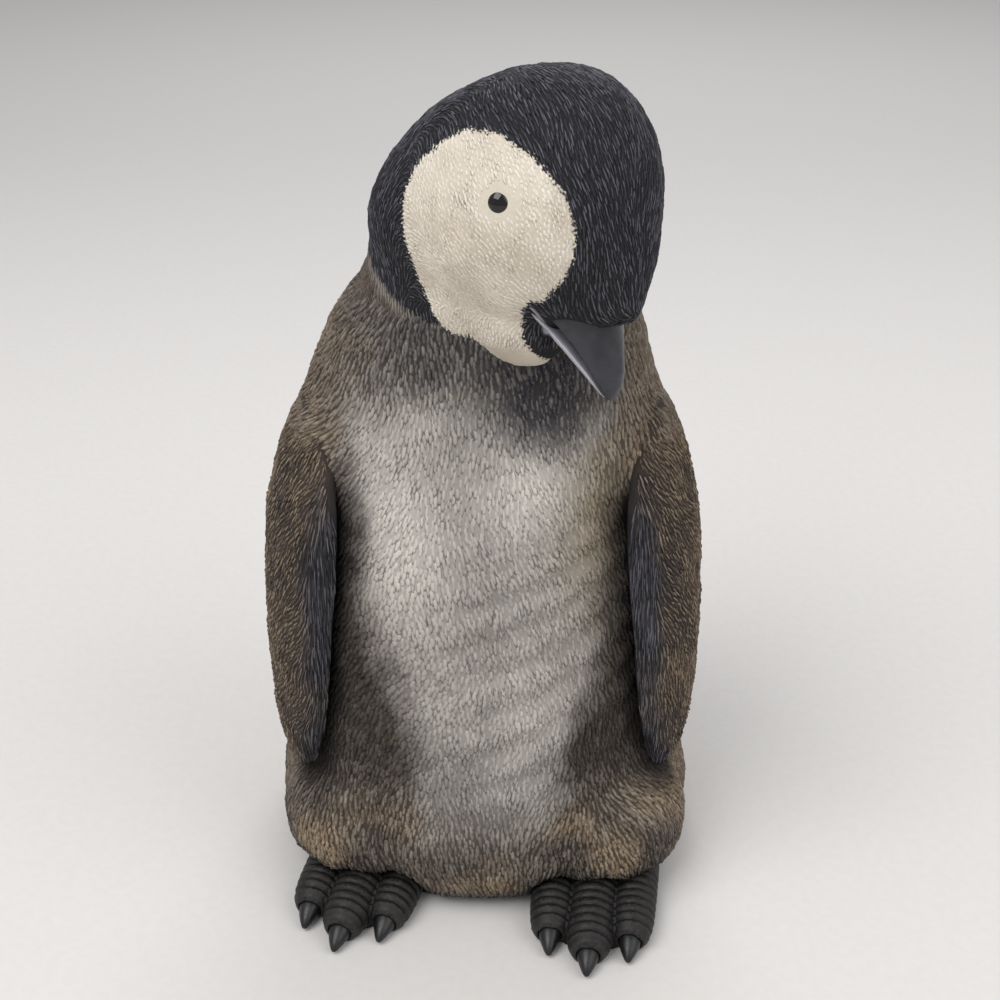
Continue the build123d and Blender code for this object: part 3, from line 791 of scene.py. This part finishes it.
head_skin = ball_mesh("down_head", head_cuts)
head_pairs = edge_pairs(head_skin)
head_ways = points_of(head_skin)
centres = np.tile(head_middle, (len(head_ways), 1))
bill_tree = surface_of("upper_mandible", "lower_mandible")
eye_tree = surface_of("eye_right", "eye_left")
trees = (surface_of("head"), bill_tree, eye_tree)
reach, bill_reach, eye_reach = (cast_in(tree, centres, head_ways) for tree in trees)
covered = (bill_reach > reach) | (eye_reach > reach) | (reach == 0)
bridged = relax(covered.astype(float), head_pairs, rim_rounds) > rim_share
reach = np.where(bridged & (reach < seat_reach), bridge_reach, reach)
reach = relax(reach, head_pairs, bridge_rounds, bridged.astype(float))
with np.errstate(divide="ignore", invalid="ignore"):
    to_floor = (hood_floor - head_middle[2]) / head_ways[:, 2]
reach = np.minimum(reach, np.where(head_ways[:, 2] < 0, to_floor, 1.0))
points = relax(head_middle + head_ways * reach[:, None], head_pairs, head_rounds)
inset = hood_inset * (1 - smooth_step(109 * mm, 116 * mm, points[:, 2]))
set_points(head_skin, points)
set_points(head_skin, points - normals_of(head_skin) * (inset * mm)[:, None])
print("head skin is", in_mm(np.ptp(points, axis=0)), "mm, with", int(bridged.sum()), "points bridged")

# %% [markdown]
# ## The mask, the gape and the hood
# The mask's outline is drawn once, on the head's own side view, and serves both cheeks. The left one is
# cut short above the shoulder that it would run into. The mask is lifted a little, because its nap was
# modelled thicker than the cap. A lavender line runs back from the bill's corner, and the skin sinks
# towards the bill below it, so that the lower half stands free. The hood ends in a waving edge, with brown
# nape below it.
# %% Outline of the mask
mask_outline = np.array(
    [
        (-8.4, -1.5), (-8.7, 3.0), (-6.2, 7.8), (-1.3, 11.1), (2.3, 12.3), (4.9, 12.8), (7.6, 12.5),
        (11.0, 11.4), (13.9, 9.4), (15.8, 7.0), (17.7, 2.4), (17.2, 0.0), (18.0, -2.5), (19.8, -4.4),
        (22.0, -5.7), (25.5, -6.6), (28.5, -7.4), (30.0, -9.0), (26.3, -13.0), (22.7, -16.6), (18.0, -19.0),
        (12.5, -18.6), (8.0, -17.7), (3.6, -15.6), (-1.6, -12.6), (-4.6, -10.8), (-7.0, -7.4),
    ]
)


def inside_distance(flat, outline):
    """Distance to an outline, positive inside it."""
    nearest = np.full(len(flat), 1e9)
    inside = np.zeros(len(flat), bool)
    for start, end in zip(outline, np.roll(outline, -1, axis=0)):
        side = end - start
        share = np.clip(((flat - start) @ side) / (side @ side), 0, 1)
        nearest = np.minimum(nearest, np.linalg.norm(flat - start - share[:, None] * side, axis=1))
        crosses = (start[1] > flat[:, 1]) != (end[1] > flat[:, 1])
        at = start[0] + (flat[:, 1] - start[1]) * side[0] / (side[1] if side[1] else 1e-9)
        inside ^= crosses & (flat[:, 0] < at)
    return np.where(inside, nearest, -nearest)


print("the mask is", np.ptp(mask_outline, axis=0), "mm long and high")

# %% [markdown]
# These are painted on by distance. The left mask and the height of its foot meet in a soft minimum, which
# rounds the corner between them. The gape is a line that widens away from the bill.
# %% Marks of the head
mask_depth = 3.0
left_mask_foot = 119.5
gape_start = np.array([18.2, -0.6])
gape_end = np.array([22.5, -2.2])
mask_lift = 0.35
gape_lift = 0.3
seat_depth = 1.1
hood_low = 113.3
hood_rise = 7.5
black_margin = (-3.6, -2.8)

points = points_of(head_skin)
on_head = points / mm
along, up, right = (head_axes @ (points - head_middle).T) / mm
side_view = np.stack([along, up], axis=1)
mask = np.minimum(inside_distance(side_view, mask_outline), mask_depth)
under_foot = np.minimum((left_mask_foot - points[:, 2] / mm) / 2, 40)
left_mask = -2 * np.log(np.exp(-mask / 2) + np.exp(under_foot))
mask = np.where(right < 0, left_mask, mask)

gape_way = gape_end - gape_start
share = np.clip((side_view - gape_start) @ gape_way / np.sum(gape_way**2), 0, 1)
gape_distance = np.linalg.norm(side_view - gape_start - share[:, None] * gape_way, axis=1)
gape = 1 - smooth_step(0.15 + 0.3 * share, 0.4 + 0.5 * share, gape_distance)

near_bill = distance_to(bill_tree, points)
seat = below((0.4, 2.6), near_bill) * smooth_step(1.0, -1.0, up + 0.45 * (along - 18))
lumps = all_bumps(on_head, (0.13, 5, 21), (0.09, 2.0, 22), (0.05, 1.0, 23))
lift = lumps * (1 - 0.5 * above((0, 1), mask)) + mask_lift * above((-0.6, 1.8), mask)
lift = lift + gape_lift * gape - seat_depth * seat
set_points(head_skin, points + normals_of(head_skin) * (lift * mm)[:, None])

x, y, z = on_head.T
turn = np.degrees(np.arctan2(x, -(y - axis_y / mm)))
hood_edge = hood_low + hood_rise * above((15, 70), -turn) + hood_rise * above((100, 170), turn)
hood_edge += 0.8 * bumps(on_head, 3, 24)
nape = below((-0.4, 0.4), z - hood_edge) * below(black_margin, mask)
band = nape * below((1.5, 3.0), hood_edge - z) * below((40, 90), np.abs(turn)) * 0.8
for name, values in {"mask": mask, "nape": nape, "band": band, "gape": gape}.items():
    keep(head_skin, name, values)
print("the hood ends between", round(hood_edge.min(), 1), "and", round(hood_edge.max(), 1), "mm")

# %% [markdown]
# On the face the tufts run back from the bill, over the cheeks and the brow. Behind the crown they turn
# and hang down the neck. On the mask they are short and low, and elsewhere long and thin. A strong bend
# would lift the mask's low tufts out of their ground here and there and leave dark flecks, so the head's
# bend is small.
# %% Flow and size of the head's tufts
head_tuft_size = (0.52 * mm, 2.1 * mm, 0.17 * mm)
head_spacing = 0.60 * mm
head_bend = 0.2 * mm
head_tufts_from = 112 * mm
bare_margin = 0.8
nape_way = np.array([-0.55, 0.75, 0.10])

outward = (points - head_middle) / np.linalg.norm(points - head_middle, axis=1)[:, None]
hanging = np.maximum(above((-0.1, 0.5), outward @ nape_way), below((113, 122), points[:, 2] / mm))
sway = np.stack([bumps(on_head, 9, seed) for seed in (61, 62, 63)], axis=1)
run = -bill_way * (1 - hanging)[:, None] + down_way * hanging[:, None] + 0.35 * sway
keep(head_skin, "flow", lay_flat(run, normals_of(head_skin)))
masked = above((-0.6, 0.6), mask)
tuft_scale = np.stack([1 + 0.15 * masked, 1 - 0.42 * masked, 1 - 0.35 * masked], axis=1)
keep(head_skin, "tuft_scale", tuft_scale)

grows = points[:, 2] > head_tufts_from
for distance in (near_bill, distance_to(eye_tree, points), gape_distance):
    grows &= distance > bare_margin
keep(head_skin, "tufted", grows.astype(float))
sizes = (head_tuft_size, head_spacing, head_bend)
tufts = scatter_tufts("head_tufts", head_skin, head_tufts_paint, *sizes, 71)
finish_piece(tufts, "head_tufts", head_tufts_paint, "cap_paint")
finish_piece(head_skin, "down_head", head_ground, "cap_paint", "head")

# %% [markdown]
# ## Smaller castings
# The bill, flippers, feet and claws are smooth solids with few faces. Remesh fills each one with small
# cubes and skins them, which gives an even mesh of any closed form. Smooth rounds the steps that the cubes
# leave, and then each point is set back on the casting.
# %% Even meshes from castings
weld = 0.001 * mm
last_rounds = 2


def even_mesh(name, node_name, cell, smooth):
    """A closed, even mesh of a casting, with cells of that size."""
    work = bmesh.new()
    work.from_mesh(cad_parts[node_name].data)
    bmesh.ops.remove_doubles(work, verts=work.verts[:], dist=weld)
    mesh = bpy.data.meshes.new(name + "_raw")
    work.to_mesh(mesh)
    work.free()
    helper = bpy.data.objects.new(name + "_helper", mesh)
    bpy.context.scene.collection.objects.link(helper)
    remesh = helper.modifiers.new("even", "REMESH")
    remesh.mode = "VOXEL"
    remesh.voxel_size = cell
    smoother = helper.modifiers.new("soft", "SMOOTH")
    smoother.factor = 0.5
    smoother.iterations = smooth
    graph = bpy.context.evaluated_depsgraph_get()
    made = bpy.data.meshes.new_from_object(helper.evaluated_get(graph))
    made.name = name
    bpy.data.objects.remove(helper)
    casting_tree = surface_of(node_name)
    set_points(made, np.array([casting_tree.find_nearest(point.co)[0] for point in made.vertices]))
    set_points(made, relax(points_of(made), edge_pairs(made), last_rounds))
    return made


upper_bill = even_mesh("bill_upper", "upper_mandible", cell=0.2 * mm, smooth=6)
lower_bill = even_mesh("bill_lower", "lower_mandible", cell=0.14 * mm, smooth=4)
print("the upper bill has", len(upper_bill.vertices), "points")

# %% [markdown]
# ## Bill
# The bill is smooth and was painted with a satin coat that catches the light along its ridge: slate above,
# lavender grey below. The tone drifts over some 4 mm, the sheen over 0.4 mm, and a few casting pinholes,
# in cells of about 2 mm, are pitted in the bump and painted near-black on the upper half, as painted shade
# in the pits. At the gape the lower half swells and stands out beyond the upper one, which the casting
# doesn't show, so its mesh is pushed out there.
# %% Bill paint and pieces
satin_patch = 0.25 / mm
satin_grain = 2.5 / mm
pinhole_cells = 0.45 / mm
pinhole_depth = 0.1 * mm
swell_fade = (24, 34)
swell_out = 0.5
swell_down = 0.8


def satin_paint(name, low, high, roughness, hole_share):
    """Satin paint with a soft change of tone and a few pinholes."""
    material, tree, surface = new_material(name)
    place = node(tree, "ShaderNodeTexCoord", out="Object")
    patch = node(tree, "ShaderNodeTexNoise", None, {"Vector": place, "Scale": satin_patch, "Detail": 3.0})
    grain = node(tree, "ShaderNodeTexNoise", None, {"Vector": place, "Scale": satin_grain, "Detail": 3.0})
    spots = node(tree, "ShaderNodeTexVoronoi", None, {"Vector": place, "Scale": pinhole_cells})
    hole = amount(tree, spots, hole_share, hole_share * 0.5)
    # The pinholes are painted near-black: painted shade in the pits.
    colour = coats(tree, low, (high, (patch, 0.35, 0.65)), ("#0c0c0d", (hole,)))
    rough = amount(tree, grain, 0.3, 0.7, roughness - 0.06, roughness + 0.08)
    height = node(tree, "ShaderNodeMath", {"operation": "MULTIPLY"}, {0: grain, 1: 0.25})
    height = node(tree, "ShaderNodeMath", {"operation": "SUBTRACT"}, {0: height, 1: hole})
    pits = {"Strength": 0.7, "Distance": pinhole_depth, "Height": height}
    bump = node(tree, "ShaderNodeBump", None, pits)
    inputs = {"Base Color": colour, "Roughness": rough, "IOR": 1.48, "Normal": bump}
    tree.links.new(node(tree, "ShaderNodeBsdfPrincipled", None, inputs), surface)
    return material


slate_satin = satin_paint("satin_slate_on_bill", "#242328", "#323138", 0.36, 0.11)
lavender_satin = satin_paint("satin_lavender_on_bill", "#a5a2ab", "#b9b6bf", 0.45, 0.0)

finish_piece(upper_bill, "bill_upper", slate_satin, "bill_paint", "upper_mandible")
points = points_of(lower_bill)
along, up, right = (head_axes @ (points - head_middle).T) / mm
swell = below(swell_fade, along)
outwards = (swell_out * np.clip(right, -1, 1) * swell)[:, None] * cheek_way
downwards = (swell_down * swell)[:, None] * crown_way
set_points(lower_bill, points + (outwards - downwards) * mm)
finish_piece(lower_bill, "bill_lower", lavender_satin, "lower_bill_paint", "lower_mandible")

# %% [markdown]
# ## Flippers
# Each flipper is a blade that lies against the side. Its outer face has short curled tufts with tan on the
# crests, and its leading edge is a charcoal band with long thin ones. Both are matt and dusty, and the
# band reads as a dark outline of the arm. They share one paint, and the number stored as edge says which
# of them shows. The washes dried in patches of about 8 mm.
# %% Flipper paint
blade_patch = 0.12 / mm


def flipper_paint(name, raised):
    """Taupe tufts with tan crests, and a charcoal leading edge."""
    material, tree, surface = new_material(name)
    place = node(tree, "ShaderNodeTexCoord", out="Object")
    patch = node(tree, "ShaderNodeTexNoise", None, {"Vector": place, "Scale": blade_patch, "Detail": 3.0})
    grain = node(tree, "ShaderNodeTexNoise", None, {"Vector": place, "Scale": brush_grain, "Detail": 4.0})
    blotches = (patch, 0.35, 0.65)
    taupe = coats(tree, "#3f3732", ("#5f5245", blotches))
    charcoal = coats(tree, "#2b2b2f", ("#434147", blotches))
    if raised:
        worn = [("rise", 0.5, 1.0), ("tone", 0.3, 1.0, 0.05, 0.75)]
        # The tufts' rims are darker: wash, and painted shade where they meet the skin.
        taupe = coats(tree, taupe, ("#a8957c", *worn), ("#241f1d", ("rise", 0.0, 0.5, 0.85, 0.0)))
        charcoal = coats(tree, charcoal, ("#77767d", *worn), ("#0e0e10", ("rise", 0.0, 0.5, 0.8, 0.0)))
    else:
        # The ground between the tufts is darker: wash, and painted shade between them.
        taupe = coats(tree, taupe, ("#241f1d", (0.75,)))
        charcoal = coats(tree, charcoal, ("#0e0e10", (0.6,)))
    colour = coats(tree, taupe, (charcoal, ("edge",)))
    tree.links.new(matt(tree, colour, grain, 0.75), surface)
    return material


flipper_ground = flipper_paint("acrylic_with_wash_and_painted_shade_on_flipper", False)
flipper_tufts_paint = flipper_paint("dry_brushed_acrylic_on_flipper_tufts", True)
print("the flippers' paints:", flipper_ground.name, "and", flipper_tufts_paint.name)

# %% [markdown]
# The leading edge is where the blade, seen from above, turns in towards the breast. It lies at 43 degrees
# from the front, and further round at the shoulder and at the tip. Tufts grow on the side that faces
# outwards only, and stop at the shoulder, where the body's own tufts take over.
# %% Flipper pieces
flipper_tuft_size = (0.68 * mm, 1.9 * mm, 0.27 * mm)
flipper_spacing = 0.70 * mm
flipper_top = 93.5
flipper_length = 68.5
lead_angle = 43
lead_at_shoulder = 14
lead_at_tip = 12
tip_from = 0.8
tufts_end = 90
curl = 0.35

for side, name in ((-1, "flipper_right"), (1, "flipper_left")):
    mesh = even_mesh("down_" + name, name, cell=0.42 * mm, smooth=8)
    points = points_of(mesh)
    on_blade = points / mm
    x, y, z = on_blade.T
    turn = np.arctan2(x * side, -(y - axis_y / mm))
    fall = (flipper_top - z) / flipper_length
    lead = lead_angle + lead_at_shoulder * np.clip(1 - fall * 6, 0, 1)
    lead = np.radians(lead + lead_at_tip * np.clip(fall - tip_from, 0, 1) * 5)
    edge = below((0.05, 0.19), turn - lead + 0.05 * bumps(on_blade, 6, 31)) * below((76, 88), z)
    lumps = all_bumps(on_blade, (0.16, 4.2, 32), (0.12, 2.0, 33))
    set_points(mesh, points + normals_of(mesh) * (lumps * mm * (1 - 0.5 * edge))[:, None])
    keep(mesh, "edge", edge)
    normals = normals_of(mesh)
    sideways = np.stack([np.cos(turn) * side, np.sin(turn), np.zeros(len(turn))], axis=1)
    sway = all_bumps(on_blade, (0.45, 5, 34), (0.35, 12, 35))
    run = sideways * ((curl + sway) * (1 - edge))[:, None] + down_way
    keep(mesh, "flow", lay_flat(run, normals))
    keep(mesh, "tuft_scale", np.stack([1 - 0.3 * edge, 1 + 1.6 * edge, 1 - 0.2 * edge], axis=1))
    outwards = normals[:, 0] * np.sin(turn) * side - normals[:, 1] * np.cos(turn)
    grows = (outwards > -0.2 + 0.5 * above((76, 84), z)) & (z < tufts_end)
    keep(mesh, "tufted", grows.astype(float))
    label = "tufts_of_" + name
    sizes = (flipper_tuft_size, flipper_spacing, tuft_bend)
    tufts = scatter_tufts(label, mesh, flipper_tufts_paint, *sizes, 81)
    finish_piece(tufts, label, flipper_tufts_paint, "flipper_paint")
    finish_piece(mesh, "down_" + name, flipper_ground, "flipper_paint", name)

# %% [markdown]
# ## Feet and claws
# The toes are covered in scutes, half rings of horn with creases between them. The paint is a dark grey
# with a faint sheen. The rings' crests are painted lighter, a painted highlight, and the creases a little
# darker, painted shade. The claws are black and smoother, so they glint. A point is a crest where the
# casting stands out from a smoothed copy of itself. The tone drifts over some 3 mm, and the horn's grain
# is about 0.6 mm wide.
# %% Feet
horn_patch = 0.3 / mm
horn_grain = 1.8 / mm
horn_tooth = 0.12 * mm
crest_rounds = 12
crest_height = 0.12


def foot_paint():
    """Dark horn with painted highlights on the crests and painted shade in the creases."""
    material, tree, surface = new_material("semi_matt_paint_on_scutes")
    place = node(tree, "ShaderNodeTexCoord", out="Object")
    patch = node(tree, "ShaderNodeTexNoise", None, {"Vector": place, "Scale": horn_patch, "Detail": 3.0})
    grain = node(tree, "ShaderNodeTexNoise", None, {"Vector": place, "Scale": horn_grain, "Detail": 4.0})
    # Painted highlight on the scutes' crests, and painted shade in the creases between them.
    painted_crest_highlight = ("#3d3936", ("crest", 0.5, 1.0), (grain, 0.35, 0.65, 0.05, 0.5))
    painted_crease_shade = ("#131212", ("crest", 0.0, 0.4, 0.8, 0.0))
    colour = coats(tree, "#141313", ("#1d1b1a", (patch, 0.35, 0.65)), painted_crest_highlight, painted_crease_shade)
    bump = node(tree, "ShaderNodeBump", None, {"Strength": 0.6, "Distance": horn_tooth, "Height": grain})
    rough = amount(tree, grain, 0.3, 0.7, 0.45, 0.65)
    inputs = {"Base Color": colour, "Roughness": rough, "Specular IOR Level": 0.3, "Normal": bump}
    tree.links.new(node(tree, "ShaderNodeBsdfPrincipled", None, inputs), surface)
    return material


foot_material = foot_paint()
claw_satin = satin_paint("satin_black_on_claws", "#101012", "#18181a", 0.38, 0.0)

for side in ("right", "left"):
    mesh = even_mesh("scuted_foot_" + side, "foot_" + side, cell=0.28 * mm, smooth=5)
    points = points_of(mesh)
    hollow = ((relax(points, edge_pairs(mesh), crest_rounds) - points) * normals_of(mesh)).sum(1) / mm
    keep(mesh, "crest", 0.5 - np.clip(hollow / crest_height, -0.5, 0.5))
    finish_piece(mesh, "scuted_foot_" + side, foot_material, "foot_paint", "foot_" + side)
    mesh = even_mesh("horn_claws_" + side, "claws_" + side, cell=0.2 * mm, smooth=6)
    finish_piece(mesh, "horn_claws_" + side, claw_satin, "claw_paint", "claws_" + side)

# %% [markdown]
# ## Parts that keep their CAD shape
# The eyes, pins, dowel, plug and felt are plain shapes in the CAD model and keep it. They only need their
# own finishes. One helper makes them all: a grain of a real size, stretched along the grain of the stuff,
# mixes two tones and raises a bump.
# %% Finishes of the plain parts
unstretched = (1, 1, 1)
along_dowel = (1, 1, 0.08)
along_rod = (0.1, 1, 1)


def plain_finish(name, low, high, grain_size, stretch, depth, **look):
    """A material with one grain pattern: two tones, and a bump of the same grain."""
    material, tree, surface = new_material(name)
    place = node(tree, "ShaderNodeTexCoord", out="Object")
    place = node(tree, "ShaderNodeMapping", None, {"Vector": place, "Scale": stretch})
    grain = {"Vector": place, "Scale": 1 / grain_size, "Detail": 4.0}
    grain = node(tree, "ShaderNodeTexNoise", None, grain)
    colour = coats(tree, low, (high, (grain, 0.35, 0.65)))
    bump = node(tree, "ShaderNodeBump", None, {"Strength": 0.5, "Distance": depth, "Height": grain})
    inputs = {"Base Color": colour, "Normal": bump, **look}
    tree.links.new(node(tree, "ShaderNodeBsdfPrincipled", None, inputs), surface)
    return material


# Polished glass gives the eye one small, sharp light in a brown so deep that it looks black.
glass_look = {"Roughness": 0.06, "IOR": 1.52}
glass = plain_finish("glass_bead", "#0b0908", "#1b120c", 1.5 * mm, unstretched, 0.0, **glass_look)
# Bare birch is pale and silky, with fine streaks along the dowel.
birch = plain_finish("birch_dowel", "#b8945f", "#d2b283", 0.8 * mm, along_dowel, 0.05 * mm, Roughness=0.6)
# Steel rod as it was cut is grey and bright, with lines along it from the drawing die, drawn 0.4 mm wide.
steel_look = {"Roughness": 0.3, "Metallic": 1.0}
steel = plain_finish("cut_steel_rod", "#8d8d90", "#a9a9ac", 0.4 * mm, along_rod, 0.02 * mm, **steel_look)
# A moulded plug has a dull, even skin, a little mottled where the plastic cooled.
moulded = plain_finish("moulded_plug", "#827a72", "#8c847b", 0.6 * mm, unstretched, 0.03 * mm, Roughness=0.5)
# Felt swallows light. Its fibres are too fine to show and are drawn as specks of two tones, 0.35 mm wide.
felt = plain_finish("wool_felt", "#161617", "#2b2b2d", 0.35 * mm, unstretched, 0.15 * mm, Roughness=0.95)

finishes = {"eye_right": glass, "eye_left": glass, "neck_dowel": birch}
finishes |= {"base_plug": moulded, "base_felt": felt}
for pin in ("shoulder_pin_right", "shoulder_pin_left", "foot_pin_right", "foot_pin_left"):
    finishes[pin] = steel
for name, material in finishes.items():
    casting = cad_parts[name]
    casting.data.materials.clear()
    casting.data.materials.append(material)
print("plain parts:", ", ".join(finishes))

# %% [markdown]
# ## Floor
# The figure stands on a sheet of pale matt card that runs back out of sight. It is painted a little darker
# towards the back, as painted shade. It throws light back up under the chin and the hem. Its fibres show
# as specks about 2 mm wide, hardly darker.
# %% Floor
floor_half = 3.0
sheet_grain = 0.5 / mm
corners = [(-1, -1), (1, -1), (1, 1), (-1, 1)]

floor_mesh = bpy.data.meshes.new("floor")
floor_mesh.from_pydata([(floor_half * x, floor_half * y, 0) for x, y in corners], [], [(0, 1, 2, 3)])
floor = bpy.data.objects.new("floor", floor_mesh)
bpy.context.scene.collection.objects.link(floor)
floor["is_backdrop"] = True

floor_material, tree, surface = new_material("pale_sheet")
place = node(tree, "ShaderNodeTexCoord", out="Object")
back = node(tree, "ShaderNodeSeparateXYZ", None, {0: place}, "Y")
specks = node(tree, "ShaderNodeTexNoise", None, {"Vector": place, "Scale": sheet_grain, "Detail": 2.0})
specks = ("#a8a5a2", (specks, 0.3, 0.7, 0.0, 0.06))
# Painted shade: the sheet darkens from 0.1 m to 0.5 m behind the figure.
tone = coats(tree, "#d3d0cd", ("#bdbbb9", (back, 0.1, 0.5)), specks)
inputs = {"Base Color": tone, "Roughness": 0.9}
tree.links.new(node(tree, "ShaderNodeBsdfPrincipled", None, inputs), surface)
floor_mesh.materials.append(floor_material)
print("floor is", 2 * floor_half, "m wide")

# %% [markdown]
# ## Light
# The light in the room is soft and nearly white. A large key light stands up to the left and in front, a
# weaker one fills from the right, and one behind draws the edge of the head.
# %% Light
room_strength = 0.55
lamp_target = Vector((0, 0, 0.07))

world = bpy.data.worlds.new("soft_room")
world.use_nodes = True
world.node_tree.nodes["Background"].inputs["Color"].default_value = linear("#f2f3f6")
world.node_tree.nodes["Background"].inputs["Strength"].default_value = room_strength
bpy.context.scene.world = world

# Each lamp has its place in metres, its width in metres and its power in watts.
lamps = {
    "key": ((-0.35, -0.35, 0.75), 0.6, 5.0),
    "fill": ((0.5, -0.3, 0.5), 0.6, 1.8),
    "back": ((0.1, 0.6, 0.6), 0.5, 2.2),
}
for name, (lamp_place, size, power) in lamps.items():
    lamp = bpy.data.lights.new(name, "AREA")
    lamp.size = size
    lamp.energy = power
    placed = bpy.data.objects.new(name, lamp)
    placed.location = lamp_place
    placed.rotation_euler = (lamp_target - Vector(lamp_place)).to_track_quat("-Z", "Y").to_euler()
    bpy.context.scene.collection.objects.link(placed)
print("lamps:", ", ".join(lamps))

# %% [markdown]
# ## Camera
# The camera's height, distance and tilt were worked out from the photograph's perspective. It stands
# close, a little higher than the head, and looks down on it, so the head looks large and the feet small.
# %% Camera
camera_place = (0.003, -0.252, 0.211)
camera_tilt = 29.1
sensor = 36.0
picture_width = 1000
focal_pixels = 1594

camera = bpy.data.cameras.new("camera")
camera.sensor_width = sensor
camera.lens = sensor * focal_pixels / picture_width
camera.clip_start = 0.01
viewer = bpy.data.objects.new("camera", camera)
viewer.location = camera_place
viewer.rotation_euler = (np.radians(90 - camera_tilt), 0, 0)
bpy.context.scene.collection.objects.link(viewer)
bpy.context.scene.camera = viewer
bpy.context.scene.view_settings.view_transform = "Standard"
print("the lens is", round(camera.lens, 1), "mm long")

# %% [markdown]
# ## Sizes
# Down stands out from its casting, so the dressed figure is a little larger than the bare one. Both boxes
# are printed, to show by how much.
# %% Sizes
visual_box = [list(corner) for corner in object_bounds()]
for name, box in (("CAD", cad_box), ("visual", visual_box)):
    print(name, "box in mm:", [in_mm(corner) for corner in box])
